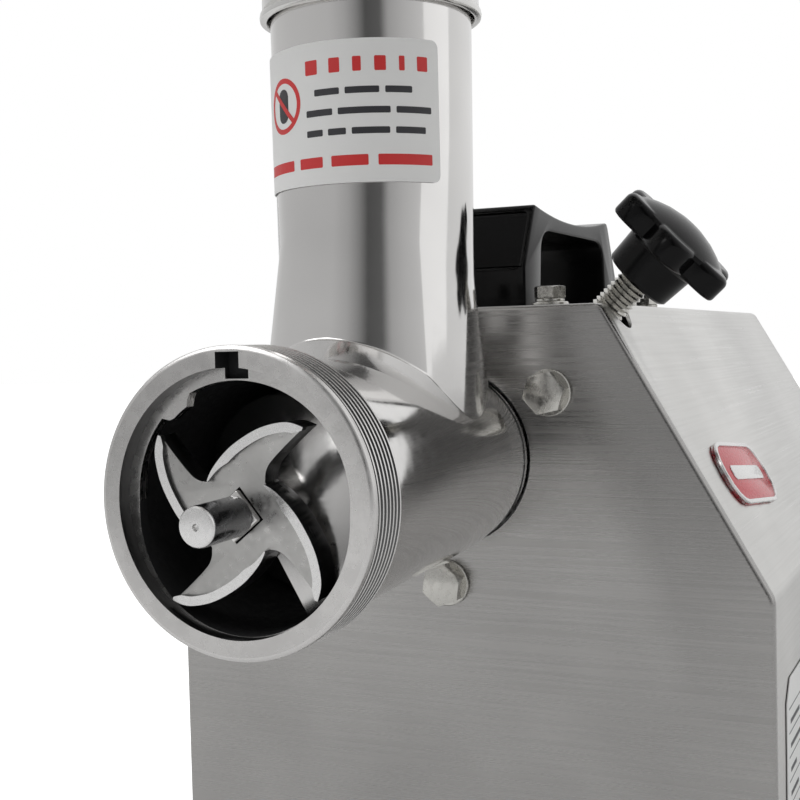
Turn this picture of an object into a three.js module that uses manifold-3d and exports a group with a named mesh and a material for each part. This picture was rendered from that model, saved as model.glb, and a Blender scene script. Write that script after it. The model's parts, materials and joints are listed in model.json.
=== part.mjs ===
// Electric meat grinder, number 12 size: a sheet-steel cabinet with a geared motor,
// a quick-change grinding head with its worm and knife, and a loading tray.
// Millimetres, +Z up, the mouth faces -Y. The origin is on the table, under the
// centre of the whole machine. Shapes are drawn in the head's own frame, whose
// origin is where the head's axis meets the cabinet's front face.

import * as THREE from 'three';
import { mergeVertices } from 'three/addons/utils/BufferGeometryUtils.js';
import Module from 'manifold-3d';

const wasm = await Module();
wasm.setup();

// ---------------------------------------------------------------- driving dimensions

const gap = 0.3; // air between pieces that touch
const fit = 0.3; // radial clearance of a shank, pin or spigot in its hole
const axisHeight = 190; // table to the head's axis

// cabinet
const bodyHalfWidth = 111.6;
const topHalfWidth = 56.3;
const topZ = 51.8; // flat top above the head's axis
const slopeAngle = 60; // slope of the two upper side panels, from level
const bodyDepth = 287.8; // front face to rear face
const sheet = 1.5;
const frontThickness = 3;
const rearThickness = 1.5;
const baseThickness = 2;
const footHeight = 22;
const footRadius = 16;
const footInset = 30;

// grinding head
const mouthReach = 138.5; // cabinet face to mouth face
const mouthRadius = 40.5; // over the thread crests
const threadLength = 16;
const seatRadius = 34.8; // seat of the hole plate
const seatDepth = 4.5;
const keyWidth = 7; // slot that stops the hole plate from turning
const keyDepth = 4;
const barrelFrontRadius = 37.2; // just behind the thread
const barrelUnderTubeRadius = 34.6;
const barrelMidRadius = 33.2;
const barrelRearRadius = 32;
const neckRadius = 30.7; // where the head enters the cabinet
const boreFrontRadius = 32.8;
const boreRearRadius = 26.5;
const headBack = 6; // inside end of the barrel's back wall
const backWall = 10;
const spigotLength = 26; // how far the neck goes into the gearbox
const spigotWall = 5;

// feed tube
const tubeAxisY = -51;
const tubeBaseRadius = 29.7;
const tubeFlare = 0.01; // radius gained per millimetre of height
const tubeWall = 2.15;
const tubeTopZ = 186;

// worm and knife
const wormDroop = 3.3; // the worm's free end hangs this low with no hole plate on
const wormFrontRadius = 30.8;
const wormRearRadius = 24;
const wormClearance = 0.8;
const wormCoreFront = 10.5;
const wormCoreRear = 13;
const wormPitch = 39;
const wormTurns = 2.9;
const flightThickness = 6;
const wormFrontY = -128;
const wormJournalRadius = 10;
const tangSide = 14; // square drive end
const tangLength = 22;
const tangClearance = 0.9;
const knifeSide = 9.8; // square that carries the knife
const knifeSquareTurn = 39; // degrees from level to the square's first flat
const knifeSquarePlay = 0.4;
const knifeThickness = 8;
const knifeFrontDepth = 2; // behind the mouth face
const pinRadius = 5.3;
const pinReach = 16; // beyond the mouth face
const bushWall = 3;

// tray
const trayHalfWidth = 150;
const trayHalfDepth = 105;
const trayCorner = 40;
const trayHeight = 40;
const trayFloorZ = 198;
const traySheet = 1.5;
const trayNeckClearance = 1.24; // round the feed tube's top, under the collar's wall
const trayNeckBottomZ = 139;

// clamp screw
const clampAngle = 43; // up from level, to the right
const clampY = 20; // behind the cabinet's front face
const studRadius = 6;
const hubStart = 87.2; // knob hub's lower face, from the head's axis
const hubLength = 13;
const hubRadius = 12.4;
const knobRadius = 24.5;
const knobThickness = 9;
const knobDome = 4.5;
const knobLobes = 6;
const clampHoleRadius = 10;
const padThickness = 4;

// bolts
const frontBoltCircle = 44.4;
const frontBoltReach = 11; // shank behind the cabinet's front face
const m8 = { shank: 4, flats: 13, head: 5.3, washer: 8, washerThickness: 1.6 };
const m6 = { shank: 3, flats: 10, head: 4.2, washer: 6.5, washerThickness: 2.6 };
const topBoltX = 32;
const topBoltFrontY = 22;
const topBoltSpacing = 133;
const topBoltReach = 9;

// carrying handle
const handleFrontY = 30;
const handleLength = 120;
const handleHalfWidth = 20;
const handleHeight = 38.5;
const handleLean = 13; // the end faces lean in by this much
const handleBlock = 14.5; // height of the solid foot blocks
const handleLegBase = 17;
const handleGripThickness = 9;
const handleDip = 4;
const handleSkin = 2.6;
const handlePocketDepth = 9;

// gear train: motor pinion, lay gear, lay pinion, output gear
const fastModule = 1.5;
const slowModule = 2;
const motorPinionTeeth = 14;
const layGearTeeth = 48;
const layPinionTeeth = 18;
const outputGearTeeth = 42;
const motorDrop = 80; // motor axis below the head's axis
const backlash = 0.35;

// gearbox, from front to back
const socketWall = 7;
const socketEnd = 34; // back of the head's socket
const boxFrontY = 46; // outside of the gear case's front wall
const boxWall = 3;
const boxEndWall = 6;
const slowGearWidth = 20;
const fastGearWidth = 12;
const gearSpace = 4;
const coverThickness = 9;
const bearingLength = 6;
const outputShaftRadius = 11;
const layShaftRadius = 8;
const bearingWall = 7;

// motor
const motorRadius = 60;
const bellLength = 14;
const rotorRadius = 34;
const airGap = 0.8;
const statorInner = rotorRadius + airGap;
const rotorShaftRadius = 7;
const pinionShaftRadius = 4.6;
const fanLength = 16;
const fanRadius = 46;
const rearSpace = 26; // air between the fan's cowl and the rear cover
const cowlWall = 1.5;
const capacitorRadius = 17;
const capacitorLength = 80;

// controls on the right-hand side
const panelBackInset = 62; // panel's centre from the rear face
const panelHeightZ = -108;
const panelLength = 116;
const panelHeight = 56;
const panelThickness = 3;
const panelBoxDepth = 26;
const buttonRadius = 10;
const buttonProud = 6;
const buttonTravel = 3;
const resetRadius = 5;
const rockerLength = 24;
const rockerWidth = 14;
const rockerSwingRoom = 2; // above and below, for its swing
const buttonSpacing = 27;

// plates and labels
const badgeCentre = { y: 55, z: -10 };
const badgeLength = 62;
const badgeHeight = 24;
const badgeThickness = 2;
const badgeTurn = 6;
const labelLength = 78;
const labelHeight = 64;
const labelFrontY = 18.6;
const labelTopZ = -74.6;
const stickerThickness = 0.25;
const stickerBottomZ = 86.5;
const stickerTopZ = 127.5;
const stickerLeft = -72;
const stickerRight = 64;

// rear inlet
const inletHalfWidth = 25;
const inletHalfHeight = 16;
const inletCavityHalfWidth = 12.2;
const inletCavityHalfHeight = 8.4;
const inletDepth = 22;
const inletFlange = 2.2;

// ---------------------------------------------------------------- worked-out sizes

const rad = THREE.MathUtils.degToRad;
const baseZ = footHeight - axisHeight; // underside of the base plate
const wallBottomZ = baseZ + baseThickness + gap;
const slopeNormal = new THREE.Vector3(Math.sin(rad(slopeAngle)), 0, Math.cos(rad(slopeAngle)));
const slopeOffset = topHalfWidth * slopeNormal.x + topZ * slopeNormal.z;
const innerHalfWidth = bodyHalfWidth - sheet;
const innerTopZ = topZ - sheet;
const wormTilt = Math.atan(wormDroop / (mouthReach + 1));
const motorSpin = { x: 0, z: -motorDrop };
const slowCentres = (slowModule * (layPinionTeeth + outputGearTeeth)) / 2;
const fastCentres = (fastModule * (motorPinionTeeth + layGearTeeth)) / 2;
const layDrop = (slowCentres ** 2 - fastCentres ** 2 + motorDrop ** 2) / (2 * motorDrop);
const laySpin = { x: -Math.sqrt(slowCentres ** 2 - layDrop ** 2), z: -layDrop };
const outputSpin = { x: 0, z: 0 };
const slowGearY = boxFrontY + boxEndWall + gearSpace;
const fastGearY = slowGearY + slowGearWidth + gearSpace;
const boxBackY = fastGearY + fastGearWidth + gearSpace;
const coverBackY = boxBackY + gap + coverThickness;
const motorFrontY = coverBackY + gap;
const cowlBackY = bodyDepth - rearThickness - rearSpace;
const cowlFrontY = cowlBackY - fanLength - 6;
const statorFrontY = motorFrontY + bellLength + gap;
const statorBackY = cowlFrontY - bellLength - 2 * gap;
const frontExtreme = tubeAxisY - trayHalfDepth;
const rearExtreme = bodyDepth + gap + inletFlange;
const clampDirection = new THREE.Vector3(Math.cos(rad(clampAngle)), 0, Math.sin(rad(clampAngle)));

// ---------------------------------------------------------------- solids

// A closed geometry as a solid, turned the right way out.
function solid(geometry) {
  geometry.deleteAttribute('normal');
  geometry.deleteAttribute('uv');
  const merged = mergeVertices(geometry, 1e-4);
  const vertProperties = new Float32Array(merged.attributes.position.array);
  const triVerts = new Uint32Array(merged.index.array);
  const corner = [new THREE.Vector3(), new THREE.Vector3(), new THREE.Vector3()];
  let volume = 0;
  for (let i = 0; i < triVerts.length; i += 3) {
    corner.forEach((c, k) => c.fromArray(vertProperties, 3 * triVerts[i + k]));
    volume += corner[0].dot(corner[1].clone().cross(corner[2]));
  }
  if (volume < 0) {
    for (let i = 0; i < triVerts.length; i += 3) {
      [triVerts[i], triVerts[i + 1]] = [triVerts[i + 1], triVerts[i]];
    }
  }
  return new wasm.Manifold(new wasm.Mesh({ numProp: 3, vertProperties, triVerts }));
}

// A solid back as a geometry with flat normals.
function geometryOf(body) {
  const mesh = body.getMesh();
  const geometry = new THREE.BufferGeometry();
  geometry.setAttribute('position', new THREE.BufferAttribute(mesh.vertProperties, 3));
  geometry.setIndex(new THREE.BufferAttribute(mesh.triVerts, 1));
  const flat = geometry.toNonIndexed();
  flat.computeVertexNormals();
  return flat;
}

const join = (...bodies) => bodies.reduce((sum, body) => sum.add(body));
const cut = (body, ...tools) => tools.reduce((rest, tool) => rest.subtract(tool), body);

// A block between two corners.
function block(low, high) {
  const size = high.map((value, i) => value - low[i]);
  const geometry = new THREE.BoxGeometry(...size);
  geometry.translate(...low.map((value, i) => value + size[i] / 2));
  return solid(geometry);
}

// A round bar along Y, from y0 to y1, with a radius at each end.
function rod(y0, y1, radius, { x = 0, z = 0, endRadius = radius, sides = 24 } = {}) {
  const geometry = new THREE.CylinderGeometry(endRadius, radius, y1 - y0, sides);
  geometry.translate(x, (y0 + y1) / 2, z);
  return solid(geometry);
}

// A solid moved so that its +Y runs along a direction from a point.
function aim(body, direction, start) {
  const turn = new THREE.Quaternion().setFromUnitVectors(new THREE.Vector3(0, 1, 0), direction);
  const matrix = new THREE.Matrix4().compose(start, turn, new THREE.Vector3(1, 1, 1));
  return body.transform(matrix.elements);
}

// A turned piece about the Y axis, from [radius, y] points that close on themselves.
function turned(profile, sides = 48) {
  const points = profile.map(([r, y]) => new THREE.Vector2(r, y));
  points.push(points[0].clone());
  return solid(new THREE.LatheGeometry(points, sides));
}

// A turned piece about an upright axis at (x, y), from [radius, z] points.
function turnedUpright(profile, { x = 0, y = 0, sides = 48 } = {}) {
  const points = profile.map(([r, z]) => new THREE.Vector2(r, z));
  points.push(points[0].clone());
  const geometry = new THREE.LatheGeometry(points, sides);
  geometry.rotateX(Math.PI / 2);
  geometry.translate(x, y, 0);
  return solid(geometry);
}

// A plate drawn in X and Z, from y0 to y1.
function plateXZ(shape, y0, y1, curveSegments = 12) {
  const settings = { depth: y1 - y0, bevelEnabled: false, curveSegments };
  const geometry = new THREE.ExtrudeGeometry(shape, settings);
  geometry.rotateX(Math.PI / 2);
  geometry.translate(0, y1, 0);
  return solid(geometry);
}

// A plate drawn in Y and Z, from x0 to x1.
function plateYZ(shape, x0, x1, curveSegments = 12) {
  const settings = { depth: x1 - x0, bevelEnabled: false, curveSegments };
  const geometry = new THREE.ExtrudeGeometry(shape, settings);
  geometry.rotateX(Math.PI / 2);
  geometry.rotateZ(Math.PI / 2);
  geometry.translate(x0, 0, 0);
  return solid(geometry);
}

// A rectangle with round corners.
function roundedRectangle(halfWidth, halfHeight, radius) {
  const shape = new THREE.Shape();
  shape.moveTo(halfWidth, -halfHeight + radius);
  shape.absarc(halfWidth - radius, halfHeight - radius, radius, 0, Math.PI / 2);
  shape.absarc(-halfWidth + radius, halfHeight - radius, radius, Math.PI / 2, Math.PI);
  shape.absarc(-halfWidth + radius, -halfHeight + radius, radius, Math.PI, 1.5 * Math.PI);
  shape.absarc(halfWidth - radius, -halfHeight + radius, radius, 1.5 * Math.PI, 2 * Math.PI);
  return shape;
}

// A flat plate with round corners, level, from z0 to z1.
function levelPlate(halfX, halfY, radius, z0, z1, { x = 0, y = 0 } = {}) {
  const settings = { depth: z1 - z0, bevelEnabled: false, curveSegments: 6 };
  const geometry = new THREE.ExtrudeGeometry(roundedRectangle(halfX, halfY, radius), settings);
  geometry.translate(x, y, z0);
  return solid(geometry);
}

// ---------------------------------------------------------------- finishes

const finish = (color, roughness, metalness) => ({ color, roughness, metalness });
const finishes = {
  brushedSteel: finish(0xb9b8b4, 0.38, 1),
  polishedSteel: finish(0xc9c8c5, 0.22, 1),
  cutSteel: finish(0xa9a8a5, 0.35, 1),
  castAluminium: finish(0x9b9c9e, 0.55, 1),
  gearSteel: finish(0x84868a, 0.4, 1),
  zincSteel: finish(0xc4c3bd, 0.35, 1),
  blackPlastic: finish(0x141414, 0.4, 0),
  greyPlastic: finish(0x55585c, 0.5, 0),
  rubber: finish(0x1c1c1c, 0.8, 0),
  redPlastic: finish(0xc4121c, 0.35, 0),
  greenPlastic: finish(0x1f9a48, 0.35, 0),
  label: finish(0xe9e9e6, 0.5, 0),
  nylon: finish(0xe4e0d2, 0.5, 0),
  motorIron: finish(0x3b4046, 0.6, 0.4),
};

const head = new THREE.Group();
const machine = new THREE.Group();
const worm = new THREE.Group();
worm.rotation.x = wormTilt;

function add(group, name, body, look) {
  const mesh = new THREE.Mesh(geometryOf(body), new THREE.MeshStandardMaterial(finishes[look]));
  mesh.name = name;
  group.add(mesh);
  return mesh;
}

// ---------------------------------------------------------------- cabinet

// The cabinet's front view, taken in by an inset all round but at the open bottom.
function cabinetOutline(inset, bottomZ) {
  const side = bodyHalfWidth - inset;
  const top = topZ - inset;
  const shoulderZ = (slopeOffset - inset - side * slopeNormal.x) / slopeNormal.z;
  const topSide = (slopeOffset - inset - top * slopeNormal.z) / slopeNormal.x;
  const shape = new THREE.Shape();
  shape.moveTo(-side, bottomZ);
  shape.lineTo(side, bottomZ);
  shape.lineTo(side, shoulderZ);
  shape.lineTo(topSide, top);
  shape.lineTo(-topSide, top);
  shape.lineTo(-side, shoulderZ);
  return shape;
}

const slotWall = (y0, y1, z0, z1) => [-1, 1].map((side) => {
  const near = side * (innerHalfWidth - 5);
  const far = side * (bodyHalfWidth + 5);
  return block([Math.min(near, far), y0, z0], [Math.max(near, far), y1, z1]);
});

const topBolts = [0, 1].map((i) => ({ x: topBoltX, y: topBoltFrontY + i * topBoltSpacing }));
const handleBolts = [
  { x: 0, y: handleFrontY + handleLegBase / 2 },
  { x: 0, y: handleFrontY + handleLength - handleLegBase / 2 },
];
const panelY = bodyDepth - panelBackInset;
const panelCutHalf = { y: panelLength / 2 - 6, z: panelHeight / 2 - 6 };

function upright(radius, { x, y }, z0, z1, sides = 12) {
  return aim(rod(0, z1 - z0, radius, { sides }), new THREE.Vector3(0, 0, 1), new THREE.Vector3(x, y, z0));
}

function housingShell() {
  const y0 = frontThickness + gap;
  const y1 = bodyDepth - rearThickness - gap;
  const wrap = plateXZ(cabinetOutline(0, wallBottomZ), y0, y1);
  const inside = plateXZ(cabinetOutline(sheet, wallBottomZ - 10), y0 - 1, y1 + 1);
  const screwHole = aim(
    rod(0, bodyHalfWidth, clampHoleRadius, { sides: 28 }),
    clampDirection,
    new THREE.Vector3(0, clampY, 0),
  );
  const boltHoles = [...topBolts, ...handleBolts].map((spot) =>
    upright(m6.shank + fit, spot, innerTopZ - 5, topZ + 5),
  );
  const panelHole = block(
    [innerHalfWidth - 5, panelY - panelCutHalf.y - fit, panelHeightZ - panelCutHalf.z - fit],
    [bodyHalfWidth + 5, panelY + panelCutHalf.y + fit, panelHeightZ + panelCutHalf.z + fit],
  );
  const vents = [];
  const ventCount = 7;
  const ventPitch = 8;
  const ventLength = 46;
  const ventHeight = 3;
  const ventBottomZ = wallBottomZ + 14;
  const ventMiddleY = frontThickness + 60;
  for (let i = 0; i < ventCount; i += 1) {
    const z = ventBottomZ + i * ventPitch;
    const left = slotWall(ventMiddleY - ventLength / 2, ventMiddleY + ventLength / 2, z, z + ventHeight)[0];
    vents.push(left);
  }
  return cut(wrap, inside, screwHole, panelHole, ...boltHoles, ...vents);
}

const frontBoltSpots = [30, 150, 270].map((angle) => ({
  x: frontBoltCircle * Math.cos(rad(angle)),
  z: frontBoltCircle * Math.sin(rad(angle)),
}));

function frontPlate() {
  const plate = plateXZ(cabinetOutline(0, wallBottomZ), 0, frontThickness);
  const neckHole = rod(-5, frontThickness + 5, neckRadius + 0.8, { sides: 64 });
  const bolts = frontBoltSpots.map(({ x, z }) =>
    rod(-5, frontThickness + 5, m8.shank + fit, { x, z, sides: 12 }),
  );
  return cut(plate, neckHole, ...bolts);
}

const rearScrewSpots = [-1, 1].flatMap((side) => [
  { x: side * (bodyHalfWidth - 12), z: wallBottomZ + 16 },
  { x: side * (topHalfWidth - 8), z: topZ - 14 },
]);
const inletSpot = { x: -62, z: wallBottomZ + 34 };

function rearCover() {
  const y0 = bodyDepth - rearThickness;
  const plate = plateXZ(cabinetOutline(0, wallBottomZ), y0, bodyDepth);
  const tools = [];
  const slots = 9;
  const slotPitch = 9;
  const slotHalfLength = 34;
  for (let i = 0; i < slots; i += 1) {
    const z = motorSpin.z + (i - (slots - 1) / 2) * slotPitch;
    const reach = slotHalfLength * Math.sqrt(1 - ((i - (slots - 1) / 2) / slots) ** 2);
    const x = motorSpin.x + 26;
    tools.push(block([x - reach, y0 - 5, z - 1.8], [x + reach, bodyDepth + 5, z + 1.8]));
  }
  const { x, z } = inletSpot;
  const halfX = inletHalfWidth - 8 + fit;
  const halfZ = inletHalfHeight - 4 + fit;
  tools.push(block([x - halfX, y0 - 5, z - halfZ], [x + halfX, bodyDepth + 5, z + halfZ]));
  for (const spot of rearScrewSpots) tools.push(rod(y0 - 5, bodyDepth + 5, 2.2, { ...spot, sides: 16 }));
  return cut(plate, ...tools);
}

const footSpots = [-1, 1].flatMap((side) => [
  { x: side * (bodyHalfWidth - footInset), y: footInset },
  { x: side * (bodyHalfWidth - footInset), y: bodyDepth - footInset },
]);
const footStudRadius = 4;

function basePlate() {
  const plate = block([-bodyHalfWidth, 0, baseZ], [bodyHalfWidth, bodyDepth, baseZ + baseThickness]);
  const holes = footSpots.map((spot) => upright(footStudRadius + fit, spot, baseZ - 5, baseZ + 10));
  const slots = [];
  const slotCount = 5;
  for (let i = 0; i < slotCount; i += 1) {
    const x = (i - (slotCount - 1) / 2) * 16;
    slots.push(block([x - 2.5, bodyDepth / 2, baseZ - 5], [x + 2.5, bodyDepth / 2 + 70, baseZ + 10]));
  }
  return cut(plate, ...holes, ...slots);
}

// A rubber foot with its moulded-in stud, which goes up through the base plate.
function foot({ x, y }) {
  const bottom = -axisHeight;
  const top = baseZ - gap;
  const studTop = baseZ + baseThickness + 8;
  return turnedUpright(
    [
      [0, bottom],
      [footRadius - 3, bottom],
      [footRadius - 1, bottom + 2],
      [footRadius, top - 5],
      [footRadius, top],
      [footStudRadius, top],
      [footStudRadius, studTop],
      [0, studTop],
    ],
    { x, y, sides: 16 },
  );
}

add(machine, 'housing_shell', housingShell(), 'brushedSteel');
add(machine, 'front_plate', frontPlate(), 'brushedSteel');
add(machine, 'rear_cover', rearCover(), 'brushedSteel');
add(machine, 'base_plate', basePlate(), 'zincSteel');
const footNames = ['foot_front_left', 'foot_rear_left', 'foot_front_right', 'foot_rear_right'];
footSpots.forEach((spot, i) => add(machine, footNames[i], foot(spot), 'rubber'));

// ---------------------------------------------------------------- fasteners

// A hexagon bolt with its washer, standing on Y = 0 with its head towards +Y.
function hexBolt(size, reach) {
  const corner = size.flats / Math.sqrt(3);
  const washer = rod(gap, gap + size.washerThickness, size.washer, { sides: 18 });
  const hexBase = gap + size.washerThickness - 0.05;
  const hex = rod(hexBase, hexBase + size.head, corner, { sides: 6 });
  const shank = rod(-reach, gap + 0.5, size.shank, { sides: 12 });
  return join(washer, hex, shank);
}

const towardsFront = new THREE.Vector3(0, -1, 0);
const towardsTop = new THREE.Vector3(0, 0, 1);
const towardsBottom = new THREE.Vector3(0, 0, -1);

frontBoltSpots.forEach(({ x, z }, i) => {
  const bolt = aim(hexBolt(m8, frontBoltReach), towardsFront, new THREE.Vector3(x, 0, z));
  add(machine, `front_bolt_${i + 1}`, bolt, 'zincSteel');
});
topBolts.forEach(({ x, y }, i) => {
  const bolt = aim(hexBolt(m6, topBoltReach), towardsTop, new THREE.Vector3(x, y, topZ));
  add(machine, `top_bolt_${i + 1}`, bolt, 'zincSteel');
});
handleBolts.forEach(({ x, y }, i) => {
  const reach = sheet + handleBlock - 3;
  const bolt = aim(hexBolt(m6, reach), towardsBottom, new THREE.Vector3(x, y, innerTopZ));
  add(machine, `handle_bolt_${i + 1}`, bolt, 'zincSteel');
});

// A round-headed screw in the rear cover.
function rearScrew({ x, z }) {
  const y = bodyDepth + gap;
  return turned([[0, y - 9], [1.9, y - 9], [1.9, y], [4, y], [3.6, y + 1.6], [0, y + 2.1]], 12)
    .translate([x, 0, z]);
}
rearScrewSpots.forEach((spot, i) => add(machine, `rear_screw_${i + 1}`, rearScrew(spot), 'zincSteel'));

// ---------------------------------------------------------------- carrying handle

// Two leaning legs and a dipped grip, hollowed out in front and behind.
function carryHandle() {
  const y0 = handleFrontY;
  const y1 = handleFrontY + handleLength;
  const middle = (y0 + y1) / 2;
  const z0 = topZ + gap;
  const z1 = topZ + handleHeight;
  const shape = new THREE.Shape();
  shape.moveTo(y0, z0);
  shape.lineTo(y0 + handleLegBase, z0);
  shape.lineTo(y0 + handleLegBase + 2, z1 - handleGripThickness - 8);
  shape.quadraticCurveTo(
    y0 + handleLegBase + 3, z1 - handleGripThickness,
    y0 + handleLegBase + 14, z1 - handleGripThickness,
  );
  shape.lineTo(y1 - handleLegBase - 14, z1 - handleGripThickness);
  shape.quadraticCurveTo(
    y1 - handleLegBase - 3, z1 - handleGripThickness,
    y1 - handleLegBase - 2, z1 - handleGripThickness - 8,
  );
  shape.lineTo(y1 - handleLegBase, z0);
  shape.lineTo(y1, z0);
  shape.lineTo(y1, z0 + handleBlock);
  shape.lineTo(y1 - handleLean + 2, z1 - 2);
  shape.lineTo(y1 - handleLean, z1);
  shape.quadraticCurveTo(middle, z1 - 2 * handleDip, y0 + handleLean, z1);
  shape.lineTo(y0 + handleLean - 2, z1 - 2);
  shape.lineTo(y0, z0 + handleBlock);
  const body = plateYZ(shape, -handleHalfWidth, handleHalfWidth, 8);
  const pocketX = handleHalfWidth - handleSkin;
  const pocketZ0 = z0 + handleBlock;
  const pocketZ1 = z1 - handleSkin;
  const pockets = [
    block([-pocketX, y0 - 5, pocketZ0], [pocketX, y0 + handlePocketDepth + 4, pocketZ1]),
    block([-pocketX, y1 - handlePocketDepth - 4, pocketZ0], [pocketX, y1 + 5, pocketZ1]),
  ];
  const holes = handleBolts.map((spot) =>
    upright(m6.shank + fit, spot, z0 - 5, z0 + handleBlock - 2),
  );
  return cut(body, ...pockets, ...holes);
}
add(machine, 'carry_handle', carryHandle(), 'blackPlastic');

// ---------------------------------------------------------------- gears

// A spur gear's outline, with a tooth on its first axis, turned by an angle.
function gearShape(teeth, module, turn) {
  const pitchRadius = (module * teeth) / 2;
  const pressure = rad(20);
  const baseRadius = pitchRadius * Math.cos(pressure);
  const rootRadius = pitchRadius - 1.25 * module;
  const tipRadius = pitchRadius + 0.95 * module;
  const involute = (angle) => Math.tan(angle) - angle;
  const halfTooth = (radius) => {
    const flank = Math.acos(Math.min(1, baseRadius / Math.max(radius, baseRadius)));
    return Math.PI / (2 * teeth) + involute(pressure) - involute(flank) - backlash / (2 * radius);
  };
  const shape = new THREE.Shape();
  for (let i = 0; i < teeth; i += 1) {
    const middle = turn + (2 * Math.PI * i) / teeth;
    const corners = [
      [rootRadius, -halfTooth(rootRadius)],
      [tipRadius, -halfTooth(tipRadius)],
      [tipRadius, halfTooth(tipRadius)],
      [rootRadius, halfTooth(rootRadius)],
    ];
    for (const [radius, angle] of corners) {
      const x = radius * Math.cos(middle + angle);
      const z = radius * Math.sin(middle + angle);
      if (shape.curves.length === 0 && shape.currentPoint.length() === 0) shape.moveTo(x, z);
      else shape.lineTo(x, z);
    }
  }
  return shape;
}

const layAngle = Math.atan2(laySpin.z, laySpin.x); // from the output axis to the lay axis
const motorAngle = Math.atan2(motorSpin.z - laySpin.z, motorSpin.x - laySpin.x);
const gearAt = (shape, y, width, { x, z }) => plateXZ(shape, y, y + width).translate([x, 0, z]);

const outputGear = cut(
  gearAt(gearShape(outputGearTeeth, slowModule, layAngle), slowGearY, slowGearWidth, outputSpin),
  rod(0, bodyDepth, outputShaftRadius + 2 + fit, { sides: 24 }),
);
const layPinion = gearAt(
  gearShape(layPinionTeeth, slowModule, layAngle + Math.PI + Math.PI / layPinionTeeth),
  slowGearY,
  slowGearWidth,
  laySpin,
);
const layGear = cut(
  gearAt(gearShape(layGearTeeth, fastModule, motorAngle), fastGearY, fastGearWidth, laySpin),
  rod(0, bodyDepth, layShaftRadius + 2 + fit, { ...laySpin, sides: 24 }),
);
const motorPinion = cut(
  gearAt(
    gearShape(motorPinionTeeth, fastModule, motorAngle + Math.PI + Math.PI / motorPinionTeeth),
    fastGearY,
    fastGearWidth,
    motorSpin,
  ),
  rod(0, bodyDepth, pinionShaftRadius + fit, { ...motorSpin, sides: 20 }),
);

// ---------------------------------------------------------------- shafts and bearings

const driveFrontY = spigotLength - 12;
const driveRadius = (tangSide / 2 + tangClearance) * Math.SQRT2 + 3;
const socketBoreRadius = neckRadius + fit;
const bearingY = boxFrontY;
const rearBearingY = boxBackY + gap + 1;

// The output shaft, with the square socket that drives the worm.
function outputShaft() {
  const shoulder = outputShaftRadius + 2;
  const body = turned([
    [0, driveFrontY],
    [driveRadius, driveFrontY],
    [driveRadius, socketEnd - 1],
    [outputShaftRadius, socketEnd - 1],
    [outputShaftRadius, slowGearY - gearSpace + 1],
    [shoulder, slowGearY - gearSpace + 1],
    [shoulder, slowGearY + slowGearWidth + 3],
    [outputShaftRadius, slowGearY + slowGearWidth + 3],
    [outputShaftRadius, coverBackY - 2],
    [0, coverBackY - 2],
  ], 24);
  const half = tangSide / 2 + tangClearance;
  return cut(body, block([-half, driveFrontY - 5, -half], [half, spigotLength + tangLength - 10, half]));
}

// The lay shaft with the slow pinion cut on it.
function layShaft() {
  const shoulder = layShaftRadius + 2;
  const body = turned([
    [0, bearingY + 1.5],
    [layShaftRadius, bearingY + 1.5],
    [layShaftRadius, slowGearY - 2],
    [shoulder, slowGearY - 2],
    [shoulder, fastGearY + fastGearWidth + 1],
    [layShaftRadius, fastGearY + fastGearWidth + 1],
    [layShaftRadius, coverBackY - 2],
    [0, coverBackY - 2],
  ], 18).translate([laySpin.x, 0, laySpin.z]);
  return join(body, layPinion);
}

function bearing(y, innerRadius, { x, z }, length = bearingLength) {
  const inner = innerRadius + fit;
  const outer = innerRadius + bearingWall;
  return turned([[inner, y], [outer, y], [outer, y + length], [inner, y + length]], 20)
    .translate([x, 0, z]);
}

add(machine, 'output_shaft', outputShaft(), 'gearSteel');
add(machine, 'output_gear', outputGear, 'gearSteel');
add(machine, 'lay_shaft', layShaft(), 'gearSteel');
add(machine, 'lay_gear', layGear, 'gearSteel');
add(machine, 'motor_pinion', motorPinion, 'gearSteel');
const blindBearingLength = bearingLength - 1.5;
const layBearingY = boxFrontY + 1.5;
add(machine, 'bearing_output_front', bearing(bearingY - 6, outputShaftRadius, outputSpin, 12), 'gearSteel');
add(machine, 'bearing_output_rear', bearing(rearBearingY, outputShaftRadius, outputSpin), 'gearSteel');
const layFrontBearing = bearing(layBearingY, layShaftRadius, laySpin, blindBearingLength);
add(machine, 'bearing_lay_front', layFrontBearing, 'gearSteel');
add(machine, 'bearing_lay_rear', bearing(rearBearingY, layShaftRadius, laySpin), 'gearSteel');

// ---------------------------------------------------------------- gearbox

const outputCaseRadius = slowModule * (outputGearTeeth / 2 + 1) + 1.5;
const layCaseRadius = fastModule * (layGearTeeth / 2 + 1) + 2.5;
const motorCaseRadius = fastModule * (motorPinionTeeth / 2 + 1) + 4;

// The room around the gears, grown outwards by a wall.
function gearRoom(y0, y1, grow) {
  const circles = [
    [outputSpin, outputCaseRadius + grow],
    [laySpin, layCaseRadius + grow],
    [motorSpin, motorCaseRadius + grow],
  ].map(([spot, radius]) => rod(y0, y1, radius, { ...spot, sides: 28 }));
  return wasm.Manifold.hull([circles[1], circles[2]]).add(circles[0]);
}

const socketOuter = neckRadius + socketWall;
const padStart = neckRadius + gap;
const clampBossRadius = studRadius + 6;
const clampBossEnd = slopeOffset - sheet - clampBossRadius - 6;
const sealFrontY = socketEnd + 0.5;
const sealLength = bearingY - 6 - gap - sealFrontY;

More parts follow.
